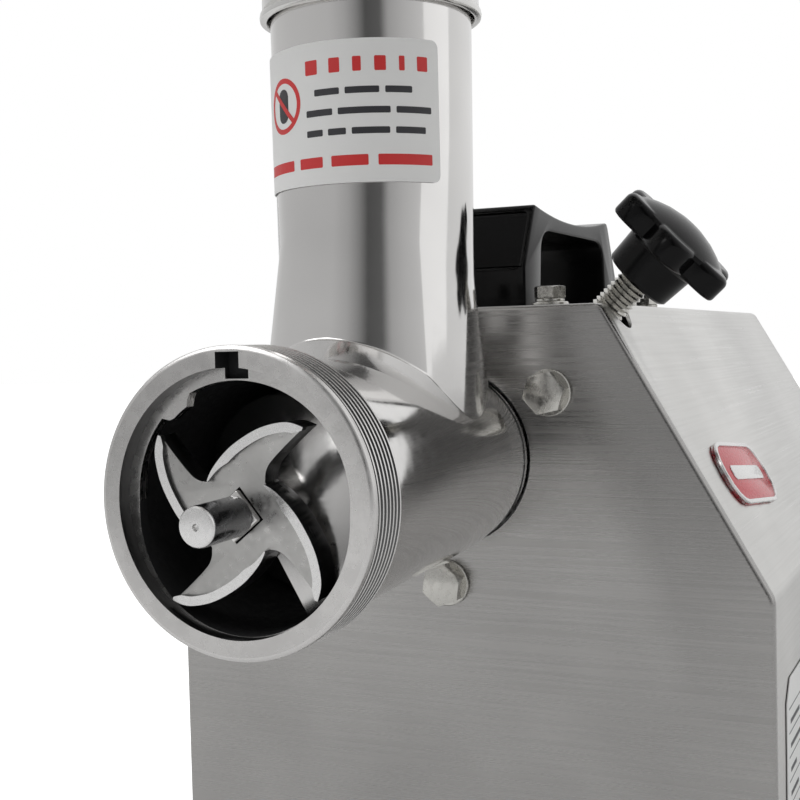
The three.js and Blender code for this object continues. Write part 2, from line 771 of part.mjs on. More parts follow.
function gearboxCase() {
  const socket = rod(frontThickness + gap, boxFrontY + 1, socketOuter, { sides: 36 });
  const bosses = frontBoltSpots.map(({ x, z }) => {
    const boss = rod(frontThickness + gap, boxFrontY + 1, m8.shank + 4, { x, z, sides: 12 });
    return boss;
  });
  const clampBoss = aim(
    rod(neckRadius, clampBossEnd, clampBossRadius, { sides: 18 }),
    clampDirection,
    new THREE.Vector3(0, clampY, 0),
  );
  const topPads = topBolts.slice(0, 1).map((spot) =>
    upright(m6.shank + 4, { x: spot.x, y: spot.y }, 20, innerTopZ - gap),
  );
  const shell = gearRoom(boxFrontY, boxBackY, boxWall);
  const outside = join(shell, socket, clampBoss, ...bosses, ...topPads);
  const shaftSeat = outputShaftRadius + bearingWall + fit;
  const laySeat = layShaftRadius + bearingWall + fit;
  const tools = [
    gearRoom(boxFrontY + boxEndWall, boxBackY + 5, 0),
    rod(-5, socketEnd, socketBoreRadius, { sides: 48 }),
    rod(0, boxFrontY - 6 - gap, shaftSeat + 1, { sides: 20 }),
    rod(boxFrontY - 7, boxFrontY + boxEndWall + 1, shaftSeat, { sides: 20 }),
    rod(layBearingY - gap, boxFrontY + boxEndWall + 1, laySeat, { ...laySpin, sides: 20 }),
    aim(
      rod(neckRadius - 5, slopeOffset, studRadius + fit + 0.2, { sides: 24 }),
      clampDirection,
      new THREE.Vector3(0, clampY, 0),
    ),
    ...frontBoltSpots.map(({ x, z }) =>
      rod(0, frontBoltReach + 1, m8.shank + fit, { x, z, sides: 12 }),
    ),
    ...topBolts.slice(0, 1).map((spot) =>
      upright(m6.shank + fit, spot, innerTopZ - topBoltReach, innerTopZ + 5),
    ),
  ];
  return cut(outside, ...tools);
}

function gearboxCover() {
  const plate = gearRoom(boxBackY + gap, coverBackY, boxWall);
  const seatBack = rearBearingY + bearingLength + gap;
  const shaftSeat = outputShaftRadius + bearingWall + fit;
  const laySeat = layShaftRadius + bearingWall + fit;
  const tools = [
    rod(rearBearingY - 2, seatBack, shaftSeat, { sides: 20 }),
    rod(rearBearingY - 2, seatBack, laySeat, { ...laySpin, sides: 20 }),
    rod(rearBearingY - 2, coverBackY + 5, rotorShaftRadius + 2, { ...motorSpin, sides: 24 }),
  ];
  return cut(plate, ...tools);
}

add(machine, 'gearbox_case', gearboxCase(), 'castAluminium');
add(machine, 'gearbox_cover', gearboxCover(), 'castAluminium');
add(machine, 'shaft_seal', bearing(sealFrontY, outputShaftRadius, outputSpin, sealLength), 'rubber');

// ---------------------------------------------------------------- motor

// An end bell: a dished ring that carries a bearing.
function endBell(y0, openTowards) {
  const y1 = y0 + bellLength;
  const ring = rod(y0, y1, motorRadius + 2, { ...motorSpin, sides: 28 });
  const dishDepth = bellLength - 5;
  const dish = openTowards > 0
    ? rod(y1 - dishDepth, y1 + 1, motorRadius - 4, { ...motorSpin, sides: 28 })
    : rod(y0 - 1, y0 + dishDepth, motorRadius - 4, { ...motorSpin, sides: 28 });
  return cut(ring, dish, rod(y0 - 5, y1 + 5, rotorShaftRadius + fit, { ...motorSpin, sides: 16 }));
}

function motorStator() {
  const ring = turned([
    [statorInner, statorFrontY],
    [motorRadius, statorFrontY],
    [motorRadius, statorBackY],
    [statorInner, statorBackY],
  ], 28);
  return ring.translate([motorSpin.x, 0, motorSpin.z]);
}

function motorRotor() {
  const core = statorFrontY + 3;
  const coreEnd = statorBackY - 3;
  return turned([
    [0, fastGearY - 1],
    [pinionShaftRadius, fastGearY - 1],
    [pinionShaftRadius, fastGearY + fastGearWidth + 1],
    [rotorShaftRadius, fastGearY + fastGearWidth + 1],
    [rotorShaftRadius, core],
    [rotorRadius, core],
    [rotorRadius, coreEnd],
    [rotorShaftRadius, coreEnd],
    [rotorShaftRadius, cowlFrontY + fanLength],
    [0, cowlFrontY + fanLength],
  ], 20).translate([motorSpin.x, 0, motorSpin.z]);
}

function coolingFan() {
  const y0 = cowlFrontY + 2;
  const y1 = y0 + fanLength - 4;
  const disc = rod(y0, y0 + 2, fanRadius - 8, { sides: 24 });
  const hub = rod(y0, y1, rotorShaftRadius + 5, { sides: 12 });
  const blades = [];
  const bladeCount = 8;
  for (let i = 0; i < bladeCount; i += 1) {
    const blade = block([rotorShaftRadius + 3, y0 + 0.5, -1], [fanRadius, y1, 1]);
    blades.push(blade.rotate([0, (360 * i) / bladeCount, 0]));
  }
  const shaftHole = rod(y0 - 5, y1 + 5, rotorShaftRadius + fit, { sides: 12 });
  return cut(join(disc, hub, ...blades), shaftHole).translate([motorSpin.x, 0, motorSpin.z]);
}

function fanCowl() {
  const cup = turned([
    [motorRadius - cowlWall, cowlFrontY],
    [motorRadius, cowlFrontY],
    [motorRadius, cowlBackY],
    [18, cowlBackY],
    [18, cowlBackY - cowlWall],
    [motorRadius - cowlWall, cowlBackY - cowlWall],
  ], 24).translate([motorSpin.x, 0, motorSpin.z]);
  return cup;
}

function capacitor() {
  const x = -(innerHalfWidth - capacitorRadius - 5);
  const z = motorSpin.z - 22;
  const y0 = motorFrontY + 20;
  return rod(y0, y0 + capacitorLength, capacitorRadius, { x, z, sides: 24 });
}

add(machine, 'motor_front_bell', endBell(motorFrontY, 1), 'castAluminium');
add(machine, 'motor_stator', motorStator(), 'motorIron');
add(machine, 'motor_rear_bell', endBell(statorBackY + gap, -1), 'castAluminium');
add(machine, 'motor_rotor', motorRotor(), 'motorIron');
add(machine, 'cooling_fan', coolingFan(), 'greyPlastic');
add(machine, 'fan_cowl', fanCowl(), 'motorIron');
add(machine, 'run_capacitor', capacitor(), 'greyPlastic');

// ---------------------------------------------------------------- clamp screw

const clampStart = new THREE.Vector3(0, clampY, 0);
const studStart = padStart + padThickness + gap;
const studHoleDepth = hubLength - 1;
const knobStarY = hubStart + hubLength;

function knobShape() {
  const shape = new THREE.Shape();
  const steps = knobLobes * 8;
  const wave = 3.4;
  for (let i = 0; i < steps; i += 1) {
    const angle = (2 * Math.PI * i) / steps;
    const swing = Math.cos(knobLobes * (angle - Math.PI / knobLobes));
    const radius = knobRadius - wave + wave * Math.tanh(1.6 * swing) / Math.tanh(1.6);
    const x = radius * Math.cos(angle);
    const z = radius * Math.sin(angle);
    if (i === 0) shape.moveTo(x, z);
    else shape.lineTo(x, z);
  }
  return shape;
}

function clampKnob() {
  const star = plateXZ(knobShape(), knobStarY, knobStarY + knobThickness);
  const hub = rod(hubStart, knobStarY + 1, hubRadius, { endRadius: hubRadius + 0.8, sides: 28 });
  const top = knobStarY + knobThickness;
  const domeRadius = knobRadius - 7;
  const dome = turned([
    [0, top - 1],
    [domeRadius, top - 1],
    [domeRadius, top],
    [domeRadius * 0.8, top + knobDome * 0.45],
    [domeRadius * 0.45, top + knobDome * 0.85],
    [0, top + knobDome],
  ], 28);
  const hole = rod(hubStart - 5, hubStart + studHoleDepth, studRadius + fit, { sides: 24 });
  return aim(cut(join(star, hub, dome), hole), clampDirection, clampStart);
}

const clampStud = aim(
  rod(studStart, hubStart + studHoleDepth - gap, studRadius, { sides: 28 }),
  clampDirection,
  clampStart,
);
const clampPad = aim(
  rod(padStart, padStart + padThickness, studRadius - 0.6, { sides: 24 }),
  clampDirection,
  clampStart,
);
add(machine, 'clamp_knob', clampKnob(), 'blackPlastic');
add(machine, 'clamp_stud', clampStud, 'zincSteel');
add(machine, 'clamp_pad', clampPad, 'gearSteel');

// ---------------------------------------------------------------- grinding head

const tubeRadius = (z) => tubeBaseRadius + tubeFlare * z;
const mouthY = -mouthReach;
const bushRadius = wormJournalRadius + bushWall;
const bushBore = wormJournalRadius + fit;
const backWallFront = headBack - backWall;

// The worm's own envelope plus its clearance, along its drooping axis.
function wormSweep(clearance) {
  const frontY = mouthY - 20;
  const rate = (wormFrontRadius - wormRearRadius) / (0 - wormFrontY);
  const front = wormFrontRadius + rate * (wormFrontY - frontY) + clearance;
  const rear = wormRearRadius + clearance;
  const sweep = rod(frontY, backWallFront, front, { endRadius: rear, sides: 36 });
  return sweep.rotate([THREE.MathUtils.radToDeg(wormTilt), 0, 0]);
}

function headCasting() {
  const threadBack = mouthY + threadLength;
  const barrel = turned([
    [0, mouthY],
    [mouthRadius - 1.2, mouthY],
    [mouthRadius, mouthY + 1.2],
    [mouthRadius, threadBack],
    [barrelFrontRadius, threadBack + 1.5],
    [barrelUnderTubeRadius, tubeAxisY - 12],
    [barrelMidRadius, -26],
    [barrelRearRadius, -12],
    [neckRadius, -1],
    [neckRadius, spigotLength - 1],
    [neckRadius - 1, spigotLength],
    [0, spigotLength],
  ], 48);
  const tube = turnedUpright([
    [0, 0],
    [tubeRadius(0), 0],
    [tubeRadius(tubeTopZ), tubeTopZ],
    [0, tubeTopZ],
  ], { y: tubeAxisY, sides: 40 });
  const throat = turnedUpright([
    [0, 4],
    [tubeRadius(4) - tubeWall, 4],
    [tubeRadius(tubeTopZ + 5) - tubeWall, tubeTopZ + 5],
    [0, tubeTopZ + 5],
  ], { y: tubeAxisY, sides: 40 });
  const seat = rod(mouthY - 5, mouthY + seatDepth, seatRadius, { sides: 48 });
  const bore = rod(mouthY, backWallFront, boreFrontRadius, { endRadius: boreRearRadius, sides: 36 });
  const bushHole = rod(backWallFront - 5, headBack + 5, bushRadius + fit, { sides: 20 });
  const spigotRoom = rod(headBack, spigotLength + 5, neckRadius - spigotWall, { sides: 36 });
  const keySlot = block(
    [-keyWidth / 2, mouthY - 5, seatRadius - 3],
    [keyWidth / 2, mouthY + seatDepth + 2, seatRadius + keyDepth],
  );
  const sweep = wormSweep(wormClearance);
  return cut(join(barrel, tube), throat, seat, bore, sweep, bushHole, spigotRoom, keySlot);
}

// The bush that carries the worm's rear journal, with the journal's slight tilt allowed for.
function wormBush() {
  return turned([
    [bushBore, backWallFront + gap],
    [bushRadius, backWallFront + gap],
    [bushRadius, headBack],
    [bushBore, headBack],
  ], 20);
}

// A printed label wrapped round the feed tube.
function tubeSticker() {
  const inner = (z) => tubeRadius(z) + gap;
  const outer = (z) => inner(z) + stickerThickness;
  const skin = turnedUpright([
    [inner(stickerBottomZ), stickerBottomZ],
    [outer(stickerBottomZ), stickerBottomZ],
    [outer(stickerTopZ), stickerTopZ],
    [inner(stickerTopZ), stickerTopZ],
  ], { sides: 72 });
  const wedge = new THREE.Shape();
  const reach = 60;
  wedge.moveTo(0, 0);
  for (let angle = stickerLeft; angle <= stickerRight + 0.01; angle += (stickerRight - stickerLeft) / 4) {
    wedge.lineTo(reach * Math.sin(rad(angle)), -reach * Math.cos(rad(angle)));
  }
  const settings = { depth: stickerTopZ - stickerBottomZ + 20, bevelEnabled: false };
  const wedgeGeometry = new THREE.ExtrudeGeometry(wedge, settings);
  wedgeGeometry.translate(0, 0, stickerBottomZ - 10);
  return skin.intersect(solid(wedgeGeometry)).translate([0, tubeAxisY, 0]);
}

add(head, 'head_casting', headCasting(), 'polishedSteel');
add(head, 'worm_bush', wormBush(), 'nylon');
add(head, 'tube_sticker', tubeSticker(), 'label');

// ---------------------------------------------------------------- worm and knife

// The worm's flight: a square-edged band wound round the core, closed at both ends.
function wormFlight() {
  const stepsPerTurn = 18;
  const steps = Math.round(wormTurns * stepsPerTurn);
  const positions = [];
  const indices = [];
  const startTurn = rad(-60);
  for (let i = 0; i <= steps; i += 1) {
    const turn = i / stepsPerTurn;
    const angle = startTurn + 2 * Math.PI * turn;
    const y0 = wormFrontY + wormPitch * turn;
    const taper = (radiusY) => {
      const share = Math.min(1, (radiusY - wormFrontY) / -wormFrontY);
      return wormFrontRadius + (wormRearRadius - wormFrontRadius) * share;
    };
    const inner = wormCoreFront - 4;
    const section = [
      [inner, y0],
      [taper(y0), y0],
      [taper(y0 + flightThickness), y0 + flightThickness],
      [inner, y0 + flightThickness],
    ];
    for (const [r, y] of section) positions.push(r * Math.cos(angle), y, r * Math.sin(angle));
  }
  for (let i = 0; i < steps; i += 1) {
    for (let k = 0; k < 4; k += 1) {
      const a = 4 * i + k;
      const b = 4 * i + ((k + 1) % 4);
      indices.push(a, b, b + 4, a, b + 4, a + 4);
    }
  }
  const last = 4 * steps;
  indices.push(0, 2, 1, 0, 3, 2, last, last + 1, last + 2, last, last + 2, last + 3);
  const geometry = new THREE.BufferGeometry();
  geometry.setAttribute('position', new THREE.Float32BufferAttribute(positions, 3));
  geometry.setIndex(indices);
  return solid(geometry);
}

const knifeFrontY = mouthY + knifeFrontDepth;
const knifeBackY = knifeFrontY + knifeThickness;

function wormBody() {
  const core = turned([
    [0, knifeBackY + gap],
    [wormCoreFront, knifeBackY + gap],
    [wormCoreFront, wormFrontY + 10],
    [wormCoreRear, backWallFront - 2],
    [wormJournalRadius, backWallFront - 1],
    [wormJournalRadius, headBack + 4],
    [0, headBack + 4],
  ], 20);
  const half = tangSide / 2;
  const tang = block([-half, headBack + 3, -half], [half, spigotLength + tangLength - 14, half]);
  const knifeHalf = knifeSide / 2;
  const square = block([-knifeHalf, knifeFrontY - 0.5, -knifeHalf], [knifeHalf, knifeBackY + 5, knifeHalf])
    .rotate([0, -knifeSquareTurn, 0]);
  const pinHole = rod(mouthY - 30, wormFrontY + 12, pinRadius - 0.9 + fit, { sides: 16 });
  const flight = wormFlight();
  const rearFace = block([-60, backWallFront - 1.5, -60], [60, 60, 60]);
  return cut(join(core, cut(flight, rearFace), tang, square), pinHole);
}

// The pin that runs in the hole plate: a thick front and a thinner shank inside the worm.
const wormPin = turned([
  [0, mouthY - pinReach],
  [pinRadius - 0.6, mouthY - pinReach],
  [pinRadius, mouthY - pinReach + 0.6],
  [pinRadius, knifeFrontY - 0.5 - gap],
  [pinRadius - 0.9, knifeFrontY - 0.5 - gap],
  [pinRadius - 0.9, wormFrontY + 11],
  [0, wormFrontY + 11],
], 20);

// One arm's edges in polar form: radius, and degrees back from the tip's direction.
const armBack = [[30.8, 0], [29.1, 8], [25.4, 18.5], [20.6, 33], [17.2, 47.5], [14.6, 63], [12.1, 85.5]];
const armFront = [[12.2, -2], [13.9, 3.5], [16, 5.6], [18.4, 5], [21.9, 3.4], [24.8, 2.2], [28.5, 0.8]];
const knifeTipAngle = 48;
const knifeArms = 4;

function knife() {
  const shape = new THREE.Shape();
  const edge = [];
  for (let arm = 0; arm < knifeArms; arm += 1) {
    const tip = knifeTipAngle + (360 * arm) / knifeArms;
    for (const [r, back] of [...armFront, ...armBack]) {
      edge.push([r * Math.cos(rad(tip + back)), r * Math.sin(rad(tip + back))]);
    }
  }
  edge.forEach(([x, z], i) => (i === 0 ? shape.moveTo(x, z) : shape.lineTo(x, z)));
  const half = knifeSide / 2 + knifeSquarePlay;
  const hole = block([-half, knifeFrontY - 5, -half], [half, knifeBackY + 5, half]);
  return cut(plateXZ(shape, knifeFrontY, knifeBackY), hole.rotate([0, -knifeSquareTurn, 0]));
}

add(worm, 'worm', wormBody(), 'polishedSteel');
add(worm, 'worm_pin', wormPin, 'cutSteel');
add(worm, 'knife', knife(), 'cutSteel');

// ---------------------------------------------------------------- tray

function tray() {
  const place = { y: tubeAxisY };
  const rimZ = trayFloorZ + trayHeight;
  const pan = levelPlate(trayHalfWidth, trayHalfDepth, trayCorner, trayFloorZ, rimZ, place);
  const room = levelPlate(
    trayHalfWidth - traySheet,
    trayHalfDepth - traySheet,
    trayCorner - traySheet,
    trayFloorZ + traySheet,
    rimZ + 5,
    place,
  );
  const throatRadius = tubeRadius(tubeTopZ) - tubeWall;
  const neckInner = tubeRadius(tubeTopZ) + fit + 0.1;
  const neckOuter = tubeRadius(tubeTopZ) + trayNeckClearance + traySheet;
  const neck = turnedUpright([
    [neckInner, trayNeckBottomZ],
    [neckOuter, trayNeckBottomZ],
    [neckOuter, trayFloorZ + 1],
    [throatRadius, trayFloorZ + 1],
    [throatRadius, tubeTopZ + gap],
    [neckInner, tubeTopZ + gap],
  ], { y: tubeAxisY, sides: 40 });
  const throat = upright(throatRadius, { x: 0, y: tubeAxisY }, trayFloorZ - 5, trayFloorZ + 5, 48);
  return join(cut(pan, room, throat), neck);
}
add(head, 'tray', tray(), 'polishedSteel');

// ---------------------------------------------------------------- controls

const panelX = bodyHalfWidth + gap;
const panelFrontX = panelX + panelThickness;
const controlSpots = {
  start: panelY - 1.5 * buttonSpacing + 4,
  stop: panelY - 0.5 * buttonSpacing + 4,
  rocker: panelY + 0.5 * buttonSpacing + 4,
  reset: panelY + 1.5 * buttonSpacing - 4,
};

function barX(x0, x1, radius, y, z, sides = 20) {
  return aim(rod(0, x1 - x0, radius, { sides }), new THREE.Vector3(1, 0, 0), new THREE.Vector3(x0, y, z));
}

const buttonBackX = panelX - 10;

function switchPanel() {
  const halfY = panelLength / 2;
  const halfZ = panelHeight / 2;
  const z = panelHeightZ;
  const face = block([panelX, panelY - halfY, z - halfZ], [panelFrontX, panelY + halfY, z + halfZ]);
  const box = block(
    [panelX - panelBoxDepth, panelY - panelCutHalf.y, z - panelCutHalf.z],
    [panelX + 1, panelY + panelCutHalf.y, z + panelCutHalf.z],
  );
  const well = buttonBackX - buttonTravel - gap;
  return cut(
    join(face, box),
    barX(well, panelFrontX + 5, buttonRadius + fit, controlSpots.start, z),
    barX(well, panelFrontX + 5, buttonRadius + fit, controlSpots.stop, z),
    barX(well, panelFrontX + 5, resetRadius + fit, controlSpots.reset, z, 20),
    block(
      [panelX - 16, controlSpots.rocker - rockerWidth / 2 - fit, z - rockerLength / 2 - rockerSwingRoom],
      [panelFrontX + 5, controlSpots.rocker + rockerWidth / 2 + fit, z + rockerLength / 2 + rockerSwingRoom],
    ),
  );
}

// A rocker with two sloping faces, turning about its middle.
function reverseRocker() {
  const half = rockerLength / 2;
  const shape = new THREE.Shape();
  shape.moveTo(-half + 4, panelX - 9);
  shape.lineTo(half - 4, panelX - 9);
  shape.lineTo(half, panelFrontX + 1.5);
  shape.lineTo(0, panelFrontX - 0.8);
  shape.lineTo(-half, panelFrontX + 1.5);
  const settings = { depth: rockerWidth, bevelEnabled: false };
  const geometry = new THREE.ExtrudeGeometry(shape, settings);
  const [alongX, alongY, alongZ] = [[1, 0, 0], [0, 1, 0], [0, 0, 1]].map((v) => new THREE.Vector3(...v));
  geometry.applyMatrix4(new THREE.Matrix4().makeBasis(alongZ, alongX, alongY));
  geometry.translate(0, controlSpots.rocker - rockerWidth / 2, panelHeightZ);
  return solid(geometry);
}

function rearInlet() {
  const { x, z } = inletSpot;
  const y = bodyDepth + gap;
  const flange = block(
    [x - inletHalfWidth, y, z - inletHalfHeight + 2],
    [x + inletHalfWidth, y + inletFlange, z + inletHalfHeight - 2],
  );
  const halfX = inletHalfWidth - 8;
  const halfZ = inletHalfHeight - 4;
  const can = block([x - halfX, y - inletDepth, z - halfZ], [x + halfX, y + 1, z + halfZ]);
  const cavity = block(
    [x - inletCavityHalfWidth, y - inletDepth + 4, z - inletCavityHalfHeight],
    [x + inletCavityHalfWidth, y + 10, z + inletCavityHalfHeight],
  );
  const blades = [[-7, 1], [0, -3], [7, 1]].map(([dx, dz]) =>
    block([x + dx - 1, y - inletDepth + 3, z + dz - 2], [x + dx + 1, y - 2, z + dz + 2]),
  );
  return join(cut(join(flange, can), cavity), ...blades);
}

const buttonFrontX = panelFrontX + buttonProud;
add(machine, 'switch_panel', switchPanel(), 'greyPlastic');
function pushButton(radius, y) {
  return barX(buttonBackX, buttonFrontX, radius, y, panelHeightZ);
}
add(machine, 'start_button', pushButton(buttonRadius, controlSpots.start), 'greenPlastic');
add(machine, 'stop_button', pushButton(buttonRadius, controlSpots.stop), 'redPlastic');
add(machine, 'reset_button', pushButton(resetRadius, controlSpots.reset), 'blackPlastic');
add(machine, 'reverse_rocker', reverseRocker(), 'blackPlastic');
add(machine, 'power_inlet', rearInlet(), 'blackPlastic');

// ---------------------------------------------------------------- badge and label

// A plain badge on the right-hand slope, standing off it by the usual gap.
function badgePlate() {
  const shape = roundedRectangle(badgeLength / 2, badgeHeight / 2, badgeHeight / 2 - 2);
  const settings = { depth: badgeThickness, bevelEnabled: false, curveSegments: 6 };
  const geometry = new THREE.ExtrudeGeometry(shape, settings);
  const across = new THREE.Vector3(0, 1, 0);
  const up = new THREE.Vector3().crossVectors(slopeNormal, across);
  const x = (slopeOffset - badgeCentre.z * slopeNormal.z) / slopeNormal.x;
  const place = new THREE.Vector3(x, badgeCentre.y, badgeCentre.z).addScaledVector(slopeNormal, gap);
  const basis = new THREE.Matrix4().makeBasis(across, up, slopeNormal).setPosition(place);
  geometry.rotateZ(rad(badgeTurn));
  geometry.applyMatrix4(basis);
  return solid(geometry);
}

const sideLabel = block(
  [bodyHalfWidth + gap, labelFrontY, labelTopZ - labelHeight],
  [bodyHalfWidth + gap + 0.4, labelFrontY + labelLength, labelTopZ],
);
add(machine, 'badge_plate', badgePlate(), 'redPlastic');
add(machine, 'side_label', sideLabel, 'label');

// ---------------------------------------------------------------- the whole machine

const grinder = new THREE.Group();
grinder.name = 'meat_grinder';
head.add(worm);
grinder.add(machine, head);
grinder.position.set(0, -(frontExtreme + rearExtreme) / 2, axisHeight);

export default grinder;
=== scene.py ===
# %% [markdown]
# # A bench meat grinder, finished in Blender
# The frame that this lesson loads already has every solid of the machine in its true place:
# the cabinet, the gear train, the grinding head. It was made to work, so its edges are sharp and
# its threads are plain cylinders. Here each piece that a person can see is modelled again with
# the fine shape that the real one has, and every piece gets a finish. Nothing changes its size
# or its place. All lengths below are in millimetres from one point, the place where the head's
# axis meets the cabinet's front face, and `at` turns them into Blender's metres.

# %% Load the frame
import json
import math
import random

import bmesh
import bpy
from mathutils import Matrix, Vector


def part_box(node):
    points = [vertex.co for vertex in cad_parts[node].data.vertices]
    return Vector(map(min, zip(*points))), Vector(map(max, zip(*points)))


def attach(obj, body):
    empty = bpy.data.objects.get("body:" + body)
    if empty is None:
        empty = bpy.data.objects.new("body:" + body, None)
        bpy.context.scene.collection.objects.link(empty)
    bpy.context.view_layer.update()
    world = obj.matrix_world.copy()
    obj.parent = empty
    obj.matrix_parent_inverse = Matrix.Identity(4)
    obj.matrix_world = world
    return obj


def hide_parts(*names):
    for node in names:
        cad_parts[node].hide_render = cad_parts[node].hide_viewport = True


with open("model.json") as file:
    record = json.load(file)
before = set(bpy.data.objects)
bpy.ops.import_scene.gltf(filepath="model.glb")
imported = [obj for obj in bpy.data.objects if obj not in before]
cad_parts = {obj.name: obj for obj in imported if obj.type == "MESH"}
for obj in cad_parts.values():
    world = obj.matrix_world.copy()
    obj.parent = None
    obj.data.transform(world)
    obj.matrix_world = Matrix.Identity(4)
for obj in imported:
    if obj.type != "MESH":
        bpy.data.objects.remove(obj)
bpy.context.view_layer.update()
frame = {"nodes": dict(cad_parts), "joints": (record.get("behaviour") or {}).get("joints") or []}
bpy.ops.object.select_all(action="DESELECT")

MM = 0.001
joints = {joint["name"]: joint for joint in frame["joints"]}
HEAD = Vector(joints["worm_spin"]["pos_m"])


def at(x, y, z):
    """A point given in millimetres from the head's axis at the cabinet's face."""
    return HEAD + Vector((x, y, z)) * MM


def size_of(node):
    """The lowest and highest corner of a solid, in millimetres from the same point."""
    return [(corner - HEAD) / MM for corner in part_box(node)]


def wire(tree, links):
    """Joins pairs of sockets in a node tree."""
    for source, target in links:
        tree.links.new(source, target)


body_low, body_high = size_of("front_plate")
TABLE_Z = size_of("foot_front_left")[0].z
print(f"cabinet {2 * body_high.x:.1f} mm wide, table {-TABLE_Z:.1f} mm below the axis")

# %% [markdown]
# ## The camera
# The camera stands to the right of the mouth and slightly above the axis. It looks 25 degrees
# to the left and a little down, with a normal lens. Making it first means that every later step
# can be judged from the view that matters.

# %% Camera
CAMERA_PLACE = (178.618, -415.852, 39.531)
CAMERA_AZIMUTH = math.radians(25.205)
CAMERA_DOWN = math.radians(2.4515)
CAMERA_ROLL = math.radians(-1.3656)
LENS = 58.30

ahead = Vector((
    -math.sin(CAMERA_AZIMUTH) * math.cos(CAMERA_DOWN),
    math.cos(CAMERA_AZIMUTH) * math.cos(CAMERA_DOWN),
    -math.sin(CAMERA_DOWN),
))
level_right = Vector((math.cos(CAMERA_AZIMUTH), math.sin(CAMERA_AZIMUTH), 0))
level_up = level_right.cross(ahead)
right = level_right * math.cos(CAMERA_ROLL) + level_up * math.sin(CAMERA_ROLL)
up = level_up * math.cos(CAMERA_ROLL) - level_right * math.sin(CAMERA_ROLL)

bpy.ops.object.camera_add(location=at(*CAMERA_PLACE))
camera = bpy.context.object
camera.rotation_mode = "QUATERNION"
camera.rotation_quaternion = Matrix((right, up, -ahead)).transposed().to_quaternion()
camera.data.lens = LENS
camera.data.sensor_width = 36
bpy.context.scene.camera = camera
camera.select_set(False)

# %% [markdown]
# ## Light
# Steel shows what is around it more than its own colour, so the room is part of the finish.
# This is a white room with one dark gap in it, on the side of the camera. The sky below
# goes round the machine as a ramp of greys: darkest towards the camera and brightest behind
# and to the right. The camera itself sees plain white.

# %% The room that the steel reflects
world = bpy.data.worlds.new("studio")
bpy.context.scene.world = world
world.use_nodes = True
sky = world.node_tree
sky.nodes.clear()


def sky_node(kind, **inputs):
    node = sky.nodes.new(kind)
    for name, value in inputs.items():
        node.inputs[name].default_value = value
    return node


# Direction from the machine, in turns: 0 faces away from the mouth, a half faces the mouth.
ROOM_STOPS = [
    (0.00, 0.95), (0.10, 0.85), (0.20, 0.66), (0.27, 0.62), (0.36, 0.60), (0.44, 0.58),
    (0.49, 0.47), (0.525, 0.30), (0.555, 0.10), (0.60, 0.13), (0.625, 0.45), (0.67, 0.58),
    (0.75, 0.75), (0.84, 0.86), (0.93, 0.95),
]
direction = sky.nodes.new("ShaderNodeTexCoord")
split = sky.nodes.new("ShaderNodeSeparateXYZ")
turn = sky_node("ShaderNodeMath")
turn.operation = "ARCTAN2"
mirrored = sky_node("ShaderNodeMath")
mirrored.operation = "MULTIPLY"
mirrored.inputs[1].default_value = -1
scale = sky.nodes.new("ShaderNodeMapRange")
scale.inputs["From Min"].default_value = -math.pi
scale.inputs["From Max"].default_value = math.pi
ramp = sky.nodes.new("ShaderNodeValToRGB")
stops = ramp.color_ramp.elements
for place, grey in ROOM_STOPS[1:-1]:
    stops.new(place)
for stop, (place, grey) in zip(stops, ROOM_STOPS):
    stop.position = place
    stop.color = (grey, grey, grey, 1)
height = sky.nodes.new("ShaderNodeValToRGB")
height.color_ramp.elements[0].position = 0.30
height.color_ramp.elements[0].color = (0.80, 0.80, 0.80, 1)
height.color_ramp.elements[1].position = 0.85
height.color_ramp.elements[1].color = (1, 1, 1, 1)
lift = sky.nodes.new("ShaderNodeMapRange")
lift.inputs["From Min"].default_value = -1
lift.inputs["From Max"].default_value = 1
both = sky.nodes.new("ShaderNodeMix")
both.data_type = "RGBA"
both.blend_type = "MULTIPLY"
both.inputs["Factor"].default_value = 1
ray = sky.nodes.new("ShaderNodeLightPath")
pick = sky.nodes.new("ShaderNodeMixShader")
room_light = sky_node("ShaderNodeBackground", Strength=1.0)
plain_white = sky_node("ShaderNodeBackground", Color=(1, 1, 1, 1), Strength=1.0)
sky_out = sky.nodes.new("ShaderNodeOutputWorld")
wire(sky, [
    (direction.outputs["Generated"], split.inputs[0]),
    (split.outputs["X"], turn.inputs[0]),
    (split.outputs["Y"], mirrored.inputs[0]),
    (mirrored.outputs[0], turn.inputs[1]),
    (turn.outputs[0], scale.inputs["Value"]),
    (scale.outputs["Result"], ramp.inputs["Fac"]),
    (split.outputs["Z"], lift.inputs["Value"]),
    (lift.outputs["Result"], height.inputs["Fac"]),
    (ramp.outputs["Color"], both.inputs["A"]),
    (height.outputs["Color"], both.inputs["B"]),
    (both.outputs["Result"], room_light.inputs["Color"]),
    (ray.outputs["Is Camera Ray"], pick.inputs["Fac"]),
    (room_light.outputs[0], pick.inputs[1]),
    (plain_white.outputs[0], pick.inputs[2]),
    (pick.outputs[0], sky_out.inputs["Surface"]),
])
bpy.context.scene.view_settings.view_transform = "Standard"

# %% Two soft lights and a pale floor
def soft_light(name, place, target, width, watts):
    bpy.ops.object.light_add(type="AREA", location=at(*place))
    lamp = bpy.context.object
    lamp.name = name
    lamp.data.shape = "SQUARE"
    lamp.data.size = width
    lamp.data.energy = watts
    aim_line = at(*target) - at(*place)
    lamp.rotation_mode = "QUATERNION"
    lamp.rotation_quaternion = aim_line.to_track_quat("-Z", "Y")
    lamp.select_set(False)


soft_light("key_light", (-700, -700, 1100), (0, 0, 0), 1.0, 8)
soft_light("side_light", (1300, 300, 500), (60, 80, 0), 0.9, 0.8)

